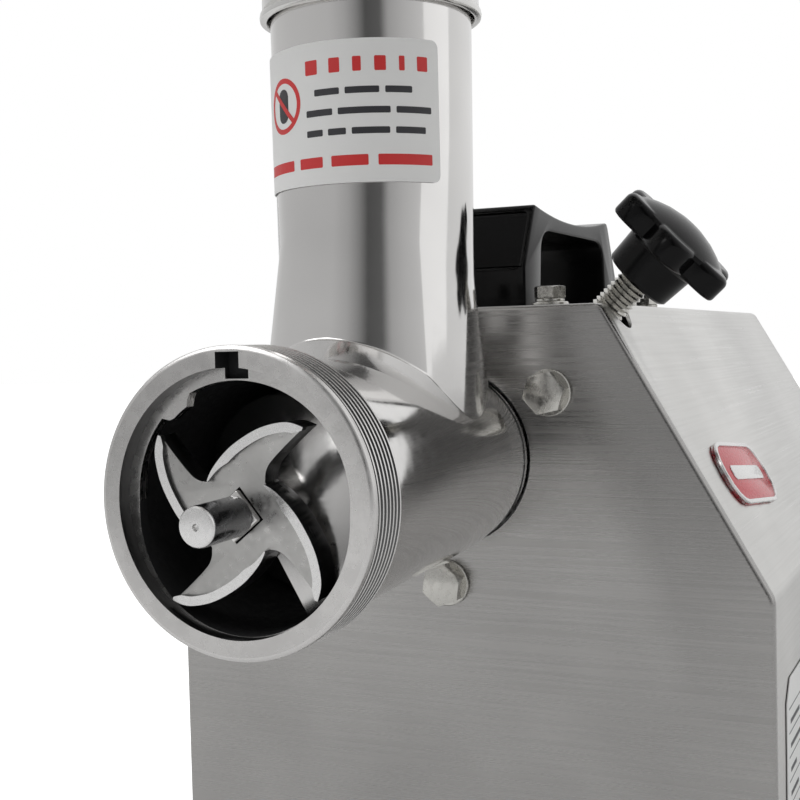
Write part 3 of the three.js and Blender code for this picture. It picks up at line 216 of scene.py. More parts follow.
bpy.ops.mesh.primitive_plane_add(size=14, location=at(0, 0, TABLE_Z))
floor = bpy.context.object
floor.name = "floor"
paint = bpy.data.materials.new("pale_floor")
paint.use_nodes = True
floor_tree = paint.node_tree
floor_shader = floor_tree.nodes["Principled BSDF"]
floor_shader.inputs["Base Color"].default_value = (0.86, 0.86, 0.86, 1)
floor_shader.inputs["Roughness"].default_value = 0.9
floor_glow = floor_tree.nodes.new("ShaderNodeEmission")
floor_glow.inputs["Strength"].default_value = 0.7
floor_sum = floor_tree.nodes.new("ShaderNodeAddShader")
floor_pick = floor_tree.nodes.new("ShaderNodeMixShader")
floor_ray = floor_tree.nodes.new("ShaderNodeLightPath")
floor_out = floor_tree.nodes["Material Output"]
wire(floor_tree, [
    (floor_shader.outputs[0], floor_sum.inputs[0]),
    (floor_glow.outputs[0], floor_sum.inputs[1]),
    (floor_ray.outputs["Is Camera Ray"], floor_pick.inputs["Fac"]),
    (floor_shader.outputs[0], floor_pick.inputs[1]),
    (floor_sum.outputs[0], floor_pick.inputs[2]),
    (floor_pick.outputs[0], floor_out.inputs["Surface"]),
])
floor.data.materials.append(paint)
floor.select_set(False)

# %% [markdown]
# ## Workshop habits
# Three ways of making metal parts cover nearly the whole machine: drawing an outline and
# extruding it, drawing half a section and spinning it, and cutting one shape from another.
# Each is a short helper around the same operators that the Edit Mode menus call.

# %% Drawing, extruding and spinning
AXES = {"X": (1, 0, 0), "Y": (0, 1, 0), "Z": (0, 0, 1)}


def draw(name, points, closed=True):
    """One vertex, extruded from corner to corner; the piece is left in Edit Mode."""
    bpy.ops.object.select_all(action="DESELECT")
    bpy.ops.mesh.primitive_plane_add(size=0.01, location=at(*points[0]))
    piece = bpy.context.object
    piece.name = name
    piece.data.name = name
    bpy.ops.object.transform_apply(location=True, rotation=False, scale=False)
    bpy.ops.object.mode_set(mode="EDIT")
    bpy.ops.mesh.merge(type="CENTER")
    corners = list(points) + ([points[0]] if closed else [])
    for here, there in zip(corners, corners[1:]):
        step = (Vector(there) - Vector(here)) * MM
        bpy.ops.mesh.extrude_region_move(TRANSFORM_OT_translate={"value": step})
    bpy.ops.mesh.select_all(action="SELECT")
    bpy.ops.mesh.remove_doubles(threshold=1e-7)
    return piece


def close_up():
    """Merges doubles, turns the faces outwards and leaves Edit Mode."""
    bpy.ops.mesh.select_all(action="SELECT")
    bpy.ops.mesh.remove_doubles(threshold=1e-6)
    bpy.ops.mesh.normals_make_consistent(inside=False)
    bpy.ops.object.mode_set(mode="OBJECT")


def extruded(name, points, move):
    """A filled outline pulled along a vector, in millimetres."""
    piece = draw(name, points)
    bpy.ops.mesh.edge_face_add()
    bpy.ops.mesh.extrude_region_move(TRANSFORM_OT_translate={"value": Vector(move) * MM})
    close_up()
    return piece


def spun(name, profile, axis="Y", centre=(0, 0, 0), steps=96):
    """Half a section of (radius, distance along the axis) points, spun once round."""
    cx, cy, cz = centre
    if axis == "Y":
        points = [(cx + r, cy + along, cz) for r, along in profile]
    elif axis == "Z":
        points = [(cx + r, cy, cz + along) for r, along in profile]
    else:
        points = [(cx + along, cy, cz + r) for r, along in profile]
    on_axis = profile[0][0] == 0 and profile[-1][0] == 0
    piece = draw(name, points, closed=not on_axis)
    bpy.ops.mesh.spin(steps=steps, angle=2 * math.pi, center=at(*centre), axis=AXES[axis])
    close_up()
    return piece


def block(name, low, high):
    """A box between two corners."""
    (x0, y0, z0), (x1, y1, z1) = low, high
    outline = [(x0, y0, z0), (x1, y0, z0), (x1, y1, z0), (x0, y1, z0)]
    return extruded(name, outline, (0, 0, z1 - z0))


def bar(name, radius, start, move, sides=48):
    """A round bar from a point along a vector: a cylinder primitive, laid along it."""
    length = Vector(move).length * MM
    middle = at(*start) + Vector(move) * MM / 2
    bpy.ops.object.select_all(action="DESELECT")
    bpy.ops.mesh.primitive_cylinder_add(
        vertices=sides, radius=radius * MM, depth=length, location=middle,
        rotation=Vector(move).to_track_quat("Z", "Y").to_euler())
    piece = bpy.context.object
    piece.name = name
    bpy.ops.object.transform_apply(location=True, rotation=True, scale=True)
    return piece


# %% Cutting, joining and softening
def active(piece):
    bpy.ops.object.select_all(action="DESELECT")
    bpy.context.view_layer.objects.active = piece
    piece.select_set(True)


def with_tool(piece, tools, operation):
    """One boolean after another, each applied and its tool thrown away."""
    for tool in tools:
        active(piece)
        cutter = piece.modifiers.new("cut", "BOOLEAN")
        cutter.operation = operation
        cutter.solver = "EXACT"
        cutter.material_mode = "TRANSFER"
        cutter.object = tool
        bpy.ops.object.modifier_apply(modifier=cutter.name)
        bpy.data.objects.remove(tool)
    if not any(piece.data.materials):
        piece.data.materials.clear()
    return piece


def cut(piece, *tools):
    return with_tool(piece, tools, "DIFFERENCE")


def weld(piece, *tools):
    return with_tool(piece, tools, "UNION")


def soften(piece, width, segments=2, angle=35):
    """A small bevel along every sharp edge, applied."""
    active(piece)
    bevel = piece.modifiers.new("soften", "BEVEL")
    bevel.width = width * MM
    bevel.segments = segments
    bevel.limit_method = "ANGLE"
    bevel.angle_limit = math.radians(angle)
    bevel.harden_normals = False
    bpy.ops.object.modifier_apply(modifier=bevel.name)
    return piece


def bevel_edges(piece, chosen, width, segments):
    """Rounds the edges for which chosen(middle, direction) is true, both in millimetres."""
    active(piece)
    bpy.ops.object.mode_set(mode="EDIT")
    bpy.ops.mesh.select_mode(type="EDGE")
    bpy.ops.mesh.select_all(action="DESELECT")
    mesh = bmesh.from_edit_mesh(piece.data)
    for edge in mesh.edges:
        a, b = (vertex.co for vertex in edge.verts)
        middle = ((a + b) / 2 - HEAD) / MM
        edge.select_set(bool(chosen(middle, (b - a).normalized())))
    mesh.select_flush_mode()
    bmesh.update_edit_mesh(piece.data)
    bpy.ops.mesh.bevel(offset=width * MM, segments=segments, affect="EDGES")
    bpy.ops.mesh.select_mode(type="VERT")
    bpy.ops.object.mode_set(mode="OBJECT")
    return piece


def shade(piece, angle=30):
    active(piece)
    bpy.ops.object.shade_smooth_by_angle(angle=math.radians(angle))
    piece.select_set(False)
    return piece


def copy_of(piece, name):
    """A copy with a mesh of its own."""
    twin = piece.copy()
    twin.data = piece.data.copy()
    twin.name = name
    bpy.context.scene.collection.objects.link(twin)
    return twin


def moved(piece, x=0, y=0, z=0):
    piece.data.transform(Matrix.Translation(Vector((x, y, z)) * MM))
    return piece


def aimed(piece, start, direction):
    """A piece drawn along +Y from the head's axis point, laid along a direction from a start."""
    swing = Vector((0, 1, 0)).rotation_difference(Vector(direction)).to_matrix().to_4x4()
    piece.data.transform(Matrix.Translation(at(*start)) @ swing @ Matrix.Translation(-HEAD))
    return piece


def dress(piece, finish, body="machine", nodes=(), angle=30):
    """Gives a finished piece its material, its body and the solids it stands for."""
    if not piece.data.materials:
        piece.data.materials.append(finish)
    shade(piece, angle)
    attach(piece, body)
    if nodes:
        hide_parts(*nodes)
    return piece


def wave(count, radius, start=0.0):
    """Points round a circle, as (x, z)."""
    turns = [start + 2 * math.pi * i / count for i in range(count)]
    return [(radius * math.cos(turn), radius * math.sin(turn)) for turn in turns]


# %% [markdown]
# ## Finishes
# A finish here is a colour, a roughness and a grain. The grain is a noise texture squeezed
# along the direction of polishing, so it turns into scratches, and it drives both roughness and
# a very fine bump. It is read in Object coordinates, so the scratches have a real size.

# %% Finishes
def finish(name, colour, roughness, metallic=0.0, grain=(900, 900, 900), uneven=0.12,
           bump=0.05, blotch=0.06, coat=0.0, specular=0.5):
    """A surface with scratches or pores from one noise and slow blotches from another."""
    material = bpy.data.materials.new(name)
    material.use_nodes = True
    tree = material.node_tree
    shader = tree.nodes["Principled BSDF"]
    shader.inputs["Metallic"].default_value = metallic
    shader.inputs["Coat Weight"].default_value = coat
    shader.inputs["Specular IOR Level"].default_value = specular
    place = tree.nodes.new("ShaderNodeTexCoord")
    squeeze = tree.nodes.new("ShaderNodeMapping")
    squeeze.inputs["Scale"].default_value = grain
    scratches = tree.nodes.new("ShaderNodeTexNoise")
    scratches.inputs["Scale"].default_value = 1
    scratches.inputs["Detail"].default_value = 4
    rough = tree.nodes.new("ShaderNodeMapRange")
    rough.inputs["From Min"].default_value = 0.3
    rough.inputs["From Max"].default_value = 0.7
    rough.inputs["To Min"].default_value = max(0.02, roughness - uneven)
    rough.inputs["To Max"].default_value = roughness + uneven
    clouds = tree.nodes.new("ShaderNodeTexNoise")
    clouds.inputs["Scale"].default_value = 14
    clouds.inputs["Detail"].default_value = 3
    tint = tree.nodes.new("ShaderNodeValToRGB")
    for stop, share in zip(tint.color_ramp.elements, (1 - blotch, 1 + blotch)):
        stop.color = (*[min(1, channel * share) for channel in colour], 1)
    tint.color_ramp.elements[0].position = 0.35
    tint.color_ramp.elements[1].position = 0.65
    relief = tree.nodes.new("ShaderNodeBump")
    relief.inputs["Strength"].default_value = bump
    relief.inputs["Distance"].default_value = 0.0004
    wire(tree, [
        (place.outputs["Object"], squeeze.inputs["Vector"]),
        (squeeze.outputs["Vector"], scratches.inputs["Vector"]),
        (place.outputs["Object"], clouds.inputs["Vector"]),
        (scratches.outputs["Fac"], rough.inputs["Value"]),
        (rough.outputs["Result"], shader.inputs["Roughness"]),
        (clouds.outputs["Fac"], tint.inputs["Fac"]),
        (tint.outputs["Color"], shader.inputs["Base Color"]),
        (scratches.outputs["Fac"], relief.inputs["Height"]),
        (relief.outputs["Normal"], shader.inputs["Normal"]),
    ])
    return material


# The front plate's steel has the side steel's brushing with a darker colour, painted shade.
front_painted_shade_steel = finish("brushed_steel_front_painted_shade", (0.37, 0.363, 0.355), 0.27, 1, (14, 400, 1000), 0.07, 0.07)
side_steel = finish("brushed_side_steel", (0.66, 0.655, 0.64), 0.36, 1, (1100, 16, 1100), 0.09, 0.09)
tube_steel = finish("polished_tube_steel", (0.78, 0.77, 0.76), 0.13, 1, (700, 700, 9), 0.05, 0.02)
barrel_steel = finish("polished_barrel_steel", (0.72, 0.71, 0.70), 0.10, 1, (250, 250, 250), 0.03, 0.01)
ring_steel = finish("turned_ring_steel", (0.60, 0.59, 0.58), 0.26, 1, (260, 1500, 260), 0.12, 0.12, 0.18)
# A dark copy of the steel, painted shade: it goes on the seat's wall, the thread roots and the knife arms'
# sides.
painted_shade_steel = finish("painted_shade_dark_steel", (0.12, 0.12, 0.12), 0.35, 1, (60, 1500, 60), 0.08, 0.05)
thread_steel = finish("thread_steel", (0.66, 0.65, 0.64), 0.30, 1, (200, 900, 200), 0.08, 0.05)
# Near-black, painted shade: it stands for the shade in the bore, the worm's room, the key slot, the knife's
# square hole and beside the lands. Its roughness is the rough cast surface of the bore.
painted_shade_black = finish("painted_shade_rough_black", (0.022, 0.022, 0.023), 0.75, 0, (420, 420, 420), 0.15, 0.6,
                     specular=0.15)
knife_steel = finish("cast_knife_steel", (0.46, 0.455, 0.445), 0.34, 1, (500, 500, 500), 0.12, 0.20, 0.15)
land_steel = finish("ground_land_steel", (0.74, 0.735, 0.73), 0.26, 1, (900, 900, 900), 0.06, 0.05)
pin_steel = finish("hardened_pin_steel", (0.26, 0.26, 0.265), 0.24, 1, (400, 400, 400), 0.06, 0.03)
tray_steel = finish("polished_tray_steel", (0.72, 0.715, 0.70), 0.20, 1, (20, 20, 1200), 0.05, 0.02)
worm_steel = finish("polished_worm_steel", (0.66, 0.65, 0.64), 0.20, 1, (300, 300, 300), 0.06, 0.015)
zinc = finish("zinc_plate", (0.54, 0.53, 0.50), 0.22, 1, (600, 600, 600), 0.12, 0.08)
black_plastic = finish("black_moulding", (0.002, 0.002, 0.0022), 0.17, 0, (1600, 1600, 1600), 0.05, 0.03,
                       specular=0.16)
grey_plastic = finish("grey_moulding", (0.09, 0.095, 0.105), 0.45, 0, (1600, 1600, 1600), 0.06, 0.08)
rubber = finish("foot_rubber", (0.02, 0.02, 0.02), 0.75, 0, (900, 900, 900), 0.1, 0.2)
red_plastic = finish("red_enamel", (0.62, 0.012, 0.03), 0.28, 0, (900, 900, 900), 0.05, 0.03, coat=0.3)
green_plastic = finish("green_cap", (0.02, 0.33, 0.08), 0.30, 0, (900, 900, 900), 0.05, 0.03)
film_white = finish("label_film", (0.80, 0.80, 0.79), 0.42, 0, (700, 700, 700), 0.05, 0.02, 0.02)
ink_dark = finish("dark_ink", (0.03, 0.03, 0.035), 0.45, 0, (700, 700, 700), 0.05, 0.02)
ink_red = finish("red_ink", (0.62, 0.03, 0.03), 0.45, 0, (700, 700, 700), 0.05, 0.02)
cast_aluminium = finish("cast_aluminium", (0.60, 0.61, 0.62), 0.55, 1, (500, 500, 500), 0.12, 0.4)
gear_steel = finish("oiled_gear_steel", (0.42, 0.42, 0.43), 0.32, 1, (200, 1400, 200), 0.1, 0.1)
motor_iron = finish("painted_motor_iron", (0.05, 0.06, 0.075), 0.5, 0.2, (400, 400, 400), 0.1, 0.25)
nylon = finish("white_nylon", (0.80, 0.77, 0.68), 0.5, 0, (800, 800, 800), 0.08, 0.08)

CARRIED_OVER = {
    "gearbox_case": cast_aluminium, "gearbox_cover": cast_aluminium,
    "motor_front_bell": cast_aluminium, "motor_rear_bell": cast_aluminium,
    "output_shaft": gear_steel, "output_gear": gear_steel, "lay_shaft": gear_steel,
    "lay_gear": gear_steel, "motor_pinion": gear_steel, "clamp_pad": gear_steel,
    "bearing_output_front": gear_steel, "bearing_output_rear": gear_steel,
    "bearing_lay_front": gear_steel, "bearing_lay_rear": gear_steel,
    "shaft_seal": rubber, "motor_stator": motor_iron, "motor_rotor": motor_iron,
    "fan_cowl": motor_iron, "cooling_fan": grey_plastic, "run_capacitor": grey_plastic,
    "worm_bush": nylon, "handle_bolt_1": zinc, "handle_bolt_2": zinc,
}
for node, material in CARRIED_OVER.items():
    solid = frame["nodes"][node]
    solid.data.materials.clear()
    solid.data.materials.append(material)
print(f"{len(CARRIED_OVER)} inner solids keep their shape and get a finish")

# %% [markdown]
# ## The cabinet
# The cabinet is a strip of brushed sheet folded over five bends, closed by a plate in front and
# another behind. The folds are drawn as one open line, extruded along the machine, and rounded
# with a bevel before Solidify gives the sheet its thickness: that order keeps the bend the same
# thickness all the way round, as a press brake does.

# %% Cabinet sizes
BODY_HALF = body_high.x
TOP_HALF = 56.3
TOP_Z = body_high.z
WALL_BOTTOM = body_low.z
SLOPE_END_Z = TOP_Z - (BODY_HALF - TOP_HALF) * math.tan(math.radians(60))
DEPTH = size_of("rear_cover")[1].y
SHEET = 1.5
SEAM = 0.3
FRONT_THICK = 3.0
FOLD_RADIUS = 2.4
CLAMP_Y = 20.0
CLAMP_DIRECTION = Vector(joints["clamp_turn"]["axis"]).normalized()
CLAMP_HOLE = 10.0
TOP_BOLTS = [(32, 22), (32, 155)]
BOLT_CIRCLE = 44.4
BOLT_ANGLES = [math.radians(degrees) for degrees in (30, 150, 270)]
FRONT_BOLTS = [(BOLT_CIRCLE * math.cos(turn), BOLT_CIRCLE * math.sin(turn)) for turn in BOLT_ANGLES]

SECTION = [
    (-BODY_HALF, WALL_BOTTOM), (-BODY_HALF, SLOPE_END_Z), (-TOP_HALF, TOP_Z),
    (TOP_HALF, TOP_Z), (BODY_HALF, SLOPE_END_Z), (BODY_HALF, WALL_BOTTOM),
]
BENDS = SECTION[1:-1]


def near_bend(middle, direction):
    along = abs(direction.y) > 0.99
    return along and any(math.hypot(middle.x - x, middle.z - z) < 0.5 for x, z in BENDS)


# %% Folded wrap
wrap_front = FRONT_THICK + SEAM
wrap_back = DEPTH - SHEET - SEAM
wrap = draw("cabinet_wrap", [(x, wrap_front, z) for x, z in SECTION], closed=False)
bpy.ops.mesh.extrude_region_move(
    TRANSFORM_OT_translate={"value": (0, (wrap_back - wrap_front) * MM, 0)})
bpy.ops.mesh.normals_make_consistent(inside=False)
bpy.ops.object.mode_set(mode="OBJECT")
top_face = max(wrap.data.polygons, key=lambda face: face.center.z)
if top_face.normal.z < 0:
    active(wrap)
    bpy.ops.object.mode_set(mode="EDIT")
    bpy.ops.mesh.select_all(action="SELECT")
    bpy.ops.mesh.flip_normals()
    bpy.ops.object.mode_set(mode="OBJECT")
bevel_edges(wrap, near_bend, FOLD_RADIUS, 6)
active(wrap)
thickness = wrap.modifiers.new("sheet", "SOLIDIFY")
thickness.thickness = SHEET * MM
thickness.offset = -1
bpy.ops.object.modifier_apply(modifier=thickness.name)

panel_low, panel_high = size_of("switch_panel")
PANEL_EDGE = 6.0
cutters = [bar("clamp_hole", CLAMP_HOLE, (0, CLAMP_Y, 0), CLAMP_DIRECTION * 110, 64)]
cutters += [bar("bolt_hole", 3.3, (x, y, TOP_Z - 6), (0, 0, 12), 24) for x, y in TOP_BOLTS]
cutters.append(block(
    "panel_hole",
    (BODY_HALF - 8, panel_low.y + PANEL_EDGE - SEAM, panel_low.z + PANEL_EDGE - SEAM),
    (BODY_HALF + 4, panel_high.y - PANEL_EDGE + SEAM, panel_high.z - PANEL_EDGE + SEAM)))
VENT_COUNT = 7
VENT_PITCH = 8.0
for row in range(VENT_COUNT):
    vent_z = WALL_BOTTOM + 14 + row * VENT_PITCH
    cutters.append(block("vent", (-BODY_HALF - 4, 40, vent_z), (-BODY_HALF + 8, 86, vent_z + 3)))
cut(wrap, *cutters)
soften(wrap, 0.25, 2, 50)
dress(wrap, side_steel, nodes=["housing_shell"])
print(f"wrap: {len(wrap.data.polygons)} faces")

# %% [markdown]
# ## Front and rear plates
# The front plate is thicker than the wrap, and its outer edge is ground round, which is the
# bright line between the front and the lighter sides. The front's steel is a darker copy of the
# side steel: painted shade. The outline's corners follow the folds of the wrap behind it.


# %% Front plate
def plate(name, y0, y1, edge):
    piece = extruded(name, [(x, y0, z) for x, z in SECTION], (0, y1 - y0, 0))
    bevel_edges(piece, near_bend, FOLD_RADIUS, 6)
    face_y = min(y0, y1) if edge > 0 else max(y0, y1)

    def rim(middle, direction):
        return abs(middle.y - face_y) < 0.01 and middle.z > WALL_BOTTOM + 0.1

    return bevel_edges(piece, rim, abs(edge), 4)


EDGE_RADIUS = 1.5
NECK_HOLE = 31.3
front = plate("cabinet_front", 0, FRONT_THICK, EDGE_RADIUS)
cut(front, bar("neck_hole", NECK_HOLE, (0, -6, 0), (0, 12, 0), 128))
cut(front, *[bar("bolt_hole", 4.3, (x, -6, z), (0, 12, 0), 24) for x, z in FRONT_BOLTS])
# The front plate gets the darker steel: painted shade.
dress(front, front_painted_shade_steel, nodes=["front_plate"])

# %% Rear cover with its air slots
rear = plate("cabinet_rear", DEPTH - SHEET, DEPTH, -0.7)
motor_z = (Vector(joints["motor_spin"]["pos_m"]) - HEAD).z / MM
SLOT_COUNT = 9
slots = []
for row in range(SLOT_COUNT):
    offset = row - (SLOT_COUNT - 1) / 2
    reach = 34 * math.sqrt(1 - (offset / SLOT_COUNT) ** 2)
    slot_z = motor_z + offset * 9
    middle = block("slot", (26 - reach, DEPTH - 6, slot_z - 1.8), (26 + reach, DEPTH + 6, slot_z + 1.8))
    slots.append(bevel_edges(middle, lambda m, d: abs(d.y) > 0.99, 1.7, 4))
inlet_low, inlet_high = size_of("power_inlet")
slots.append(block(
    "inlet_hole", (inlet_low.x + 7.7, DEPTH - 6, inlet_low.z + 1.7),
    (inlet_high.x - 7.7, DEPTH + 6, inlet_high.z - 1.7)))
rear_screws = []
for index in range(1, 5):
    low, high = size_of(f"rear_screw_{index}")
    rear_screws.append(((low.x + high.x) / 2, (low.z + high.z) / 2))
slots += [bar("screw_hole", 2.2, (x, DEPTH - 6, z), (0, 12, 0), 20) for x, z in rear_screws]
cut(rear, *slots)
dress(rear, side_steel, nodes=["rear_cover"])


# %% Cross-headed screws in the rear cover
def cross_screw(name, x, z):
    head = spun(name, [
        (0, -9), (1.9, -9), (1.9, 0), (4, 0), (3.95, 0.7), (3.5, 1.35), (2.5, 1.85), (1.2, 2.05), (0, 2.1),
    ], steps=32)
    arms = [block("arm", (-2.1, 0.9, -0.45), (2.1, 4, 0.45)),
            block("arm", (-0.45, 0.9, -2.1), (0.45, 4, 2.1))]
    cut(head, *arms)
    return moved(head, x, DEPTH + SEAM, z)


for index, (x, z) in enumerate(rear_screws, start=1):
    screw = cross_screw(f"cover_screw_{index}", x, z)
    dress(screw, zinc, nodes=[f"rear_screw_{index}"])

# %% [markdown]
# ## Base and feet
# The base plate closes the cabinet from below. Its rim is softened only a little, because it
# is never seen from above. The feet are rubber, turned with a groove near the top and a hollow
# at the bottom that grips the table.

# %% Base plate
base_low, base_high = size_of("base_plate")
base = block("cabinet_base", tuple(base_low), tuple(base_high))
feet = {}
for name in ("foot_front_left", "foot_rear_left", "foot_front_right", "foot_rear_right"):
    low, high = size_of(name)
    feet[name] = ((low.x + high.x) / 2, (low.y + high.y) / 2)
foot_holes = [bar("foot_hole", 4.3, (x, y, base_low.z - 4), (0, 0, 10), 24) for x, y in feet.values()]
air_holes = []
for column in range(5):
    x = (column - 2) * 16
    hole = block("air_hole", (x - 2.5, DEPTH / 2, base_low.z - 4),
                 (x + 2.5, DEPTH / 2 + 70, base_low.z + 6))
    air_holes.append(bevel_edges(hole, lambda m, d: abs(d.z) > 0.99, 2.4, 4))
cut(base, *foot_holes, *air_holes)
soften(base, 0.5, 2, 50)
dress(base, zinc, nodes=["base_plate"])

# %% Rubber feet
foot_top = base_low.z - SEAM
FOOT = [
    (0, TABLE_Z + 3), (6, TABLE_Z + 3), (7.5, TABLE_Z + 2.4), (8.5, TABLE_Z + 0.5), (9.2, TABLE_Z),
    (12.4, TABLE_Z), (13.6, TABLE_Z + 0.4), (14.4, TABLE_Z + 1.3), (14.9, TABLE_Z + 4),
    (15.6, foot_top - 6.5), (15.2, foot_top - 5.8), (15.2, foot_top - 4.6), (15.8, foot_top - 4),
    (15.9, foot_top - 0.8), (15.3, foot_top), (4, foot_top), (4, foot_top + 10), (0, foot_top + 10),
]
for name, (x, y) in feet.items():
    rubber_foot = spun("rubber_" + name, FOOT, axis="Z", centre=(x, y, 0), steps=48)
    dress(rubber_foot, rubber, nodes=[name])
print("cabinet, base and feet are dressed")

# %% [markdown]
# ## The grinding head
# The head is one investment casting: a barrel that flares to a threaded mouth, with the feed
# tube standing on it. The two are blended by a fillet of constant radius, as a ball rolled round
# the joint would leave. A bevel on a boolean's curved seam tends to tear, so the fillet is worked
# out instead: a ball that touches both walls has its centre one ball radius outside each, and
# the places where it touches give the rings that the skin is drawn between.

# %% Head sizes
casting_low, casting_high = size_of("head_casting")
MOUTH_Y = casting_low.y
TUBE_TOP = casting_high.z
MOUTH_RADIUS = casting_high.x
TUBE_Y = -51.0
TUBE_RADIUS = 29.7
TUBE_FLARE = 0.01
TUBE_WALL = 2.15
SEAT_RADIUS = 34.8
SEAT_DEPTH = 4.5
BORE_FRONT = 32.8
BORE_REAR = 26.5
THREAD_LENGTH = 16.0
UNDER_TUBE = 33.9
BARREL_FRONT = [(37.2, MOUTH_Y + THREAD_LENGTH + 1.5), (36.9, -110), (35.6, -84), (34.4, -60)]
BARREL_REAR = [(33.2, -26), (32.6, -18), (31.6, -9), (30.9, -4.5), (30.7, -1.5), (30.7, 14)]
print(f"mouth {MOUTH_RADIUS:.1f} mm over the crests, tube up to z {TUBE_TOP:.0f}")


# %% Barrel: one half section, spun about the head's axis
def smooth_curve(points, steps=6):
    """A Catmull-Rom curve through given points."""
    ends = [points[0]] + list(points) + [points[-1]]
    curve = []
    for a, b, c, d in zip(ends, ends[1:], ends[2:], ends[3:]):
        for i in range(steps):
            t = i / steps
            weights = (-t + 2 * t ** 2 - t ** 3, 2 - 5 * t ** 2 + 3 * t ** 3,
                       t + 4 * t ** 2 - 3 * t ** 3, -t ** 2 + t ** 3)
            curve.append(tuple(sum(w * p[k] for w, p in zip(weights, (a, b, c, d))) / 2
                               for k in range(len(b))))
    return curve + [tuple(points[-1])]


CREST_COUNT = 7
THREAD_PITCH = 1.95
THREAD_DEPTH = 1.0


def thread_profile():
    """The mouth's outer band and the fine crests behind it, as (radius, y)."""
    band_end = MOUTH_Y + 2.4
    points = [(MOUTH_RADIUS - 1.3, MOUTH_Y), (MOUTH_RADIUS - 0.55, MOUTH_Y + 0.2),
              (MOUTH_RADIUS - 0.12, MOUTH_Y + 0.65), (MOUTH_RADIUS, MOUTH_Y + 1.3), (MOUTH_RADIUS, band_end)]
    for crest in range(CREST_COUNT):
        y = band_end + crest * THREAD_PITCH
        points += [(MOUTH_RADIUS - THREAD_DEPTH, y + 0.45), (MOUTH_RADIUS - THREAD_DEPTH, y + 0.75),
                   (MOUTH_RADIUS - 0.25, y + 1.15), (MOUTH_RADIUS - 0.1, y + 1.5),
                   (MOUTH_RADIUS - 0.25, y + THREAD_PITCH - 0.1)]
    return points


def radius_under(y):
    """The barrel's radius at a place along it."""
    walls = sorted((along, r) for r, along in BARREL_FRONT + BARREL_REAR)
    for (y0, r0), (y1, r1) in zip(walls, walls[1:]):
        if y0 <= y <= y1:
            return r0 + (r1 - r0) * (y - y0) / (y1 - y0)
    return walls[0][1]


outer = thread_profile() + smooth_curve(BARREL_FRONT + BARREL_REAR, 5)
outer += [(30.7, 25), (29.7, 26), (0, 26)]
barrel = spun("barrel", [(0, MOUTH_Y)] + outer, steps=160)
print(f"barrel: {len(barrel.data.polygons)} faces")


# %% Tube with its rolled fillet
def tube_radius(z):
    return TUBE_RADIUS + TUBE_FLARE * z


def touching_ball(turn, ball):
    """Where a ball touching the tube at this turn meets the tube and the barrel."""
    wall = tube_radius(40)
    cx = (wall + ball) * math.cos(turn)
    cy = TUBE_Y + (wall + ball) * math.sin(turn)
    reach = radius_under(cy) + ball
    if abs(cx) >= reach:
        return None
    cz = math.sqrt(reach ** 2 - cx ** 2)
    on_tube = (wall * math.cos(turn), TUBE_Y + wall * math.sin(turn), cz)
    share = radius_under(cy) / reach
    return (cx, cy, cz), on_tube, (cx * share, cy, cz * share)


FILLET = 6.5
FILLET_STEPS = 8
TURNS = 160


def fillet_ball(turn):
    """At the sides the tube and the barrel are nearly flush, so the ball shrinks to fit."""
    room = UNDER_TUBE - tube_radius(20) * abs(math.cos(turn))
    return max(0.6, min(FILLET, room * 0.55 + 0.4))


def skin_ring(turn):
    """Points from inside the barrel, over the fillet and up the tube's outside."""
    found = touching_ball(turn, fillet_ball(turn))
    ball, on_tube, on_barrel = (Vector(point) for point in found)
    start = on_barrel - ball
    end = on_tube - ball
    points = [on_barrel - (ball - on_barrel).normalized() * 2.2]
    for i in range(FILLET_STEPS + 1):
        t = i / FILLET_STEPS
        points.append(ball + start.slerp(end, t, start.lerp(end, t)))
    for share in (0.25, 0.5, 0.75, 1):
        z = on_tube.z + (TUBE_TOP - on_tube.z) * share
        r = tube_radius(z)
        points.append(Vector((r * math.cos(turn), TUBE_Y + r * math.sin(turn), z)))
    return points


def tube_skin():
    """The rings bridged into one closed wall, capped at both ends."""
    mesh = bmesh.new()
    rings = []
    for step in range(TURNS):
        points = skin_ring(2 * math.pi * (step + 0.5) / TURNS)
        rings.append([mesh.verts.new(at(*point)) for point in points])
    for here, there in zip(rings, rings[1:] + rings[:1]):
        for k in range(len(here) - 1):
            mesh.faces.new((here[k], there[k], there[k + 1], here[k + 1]))
    middle = mesh.verts.new(at(0, TUBE_Y, 6))
    top = mesh.verts.new(at(0, TUBE_Y, TUBE_TOP))
    for here, there in zip(rings, rings[1:] + rings[:1]):
        mesh.faces.new((middle, there[0], here[0]))
        mesh.faces.new((top, here[-1], there[-1]))
    data = bpy.data.meshes.new("tube_skin")
    mesh.to_mesh(data)
    mesh.free()
    piece = bpy.data.objects.new("tube_skin", data)
    bpy.context.scene.collection.objects.link(piece)
    active(piece)
    bpy.ops.object.mode_set(mode="EDIT")
    bpy.ops.mesh.select_all(action="SELECT")
    bpy.ops.mesh.normals_make_consistent(inside=False)
    bpy.ops.object.mode_set(mode="OBJECT")
    return piece


weld(barrel, tube_skin())
print(f"barrel with its tube: {len(barrel.data.polygons)} faces")

# %% [markdown]
# ## Inside the mouth
# The mouth is cut in steps: a seat for the hole plate, then a cast ledge whose inner edge is
# uneven, with two lugs and a rib that keep the meat from turning with the worm, then the dark
# bore. The ledge's face is turned bright. The seat's wall and the bore lie in shade, and the
# bore is left as cast, so the tools that cut those two carry painted shade, a dark steel and a
# near-black: a boolean gives each cut face its tool's material.

# %% Mouth, bore and throat
LEDGE_BACK = MOUTH_Y + 9.0
KEY_WIDTH = 7.0
KEY_DEPTH = 4.0
worm_axis = Vector(joints["worm_spin"]["axis"])
DROOP = math.atan2(worm_axis.z, worm_axis.y)


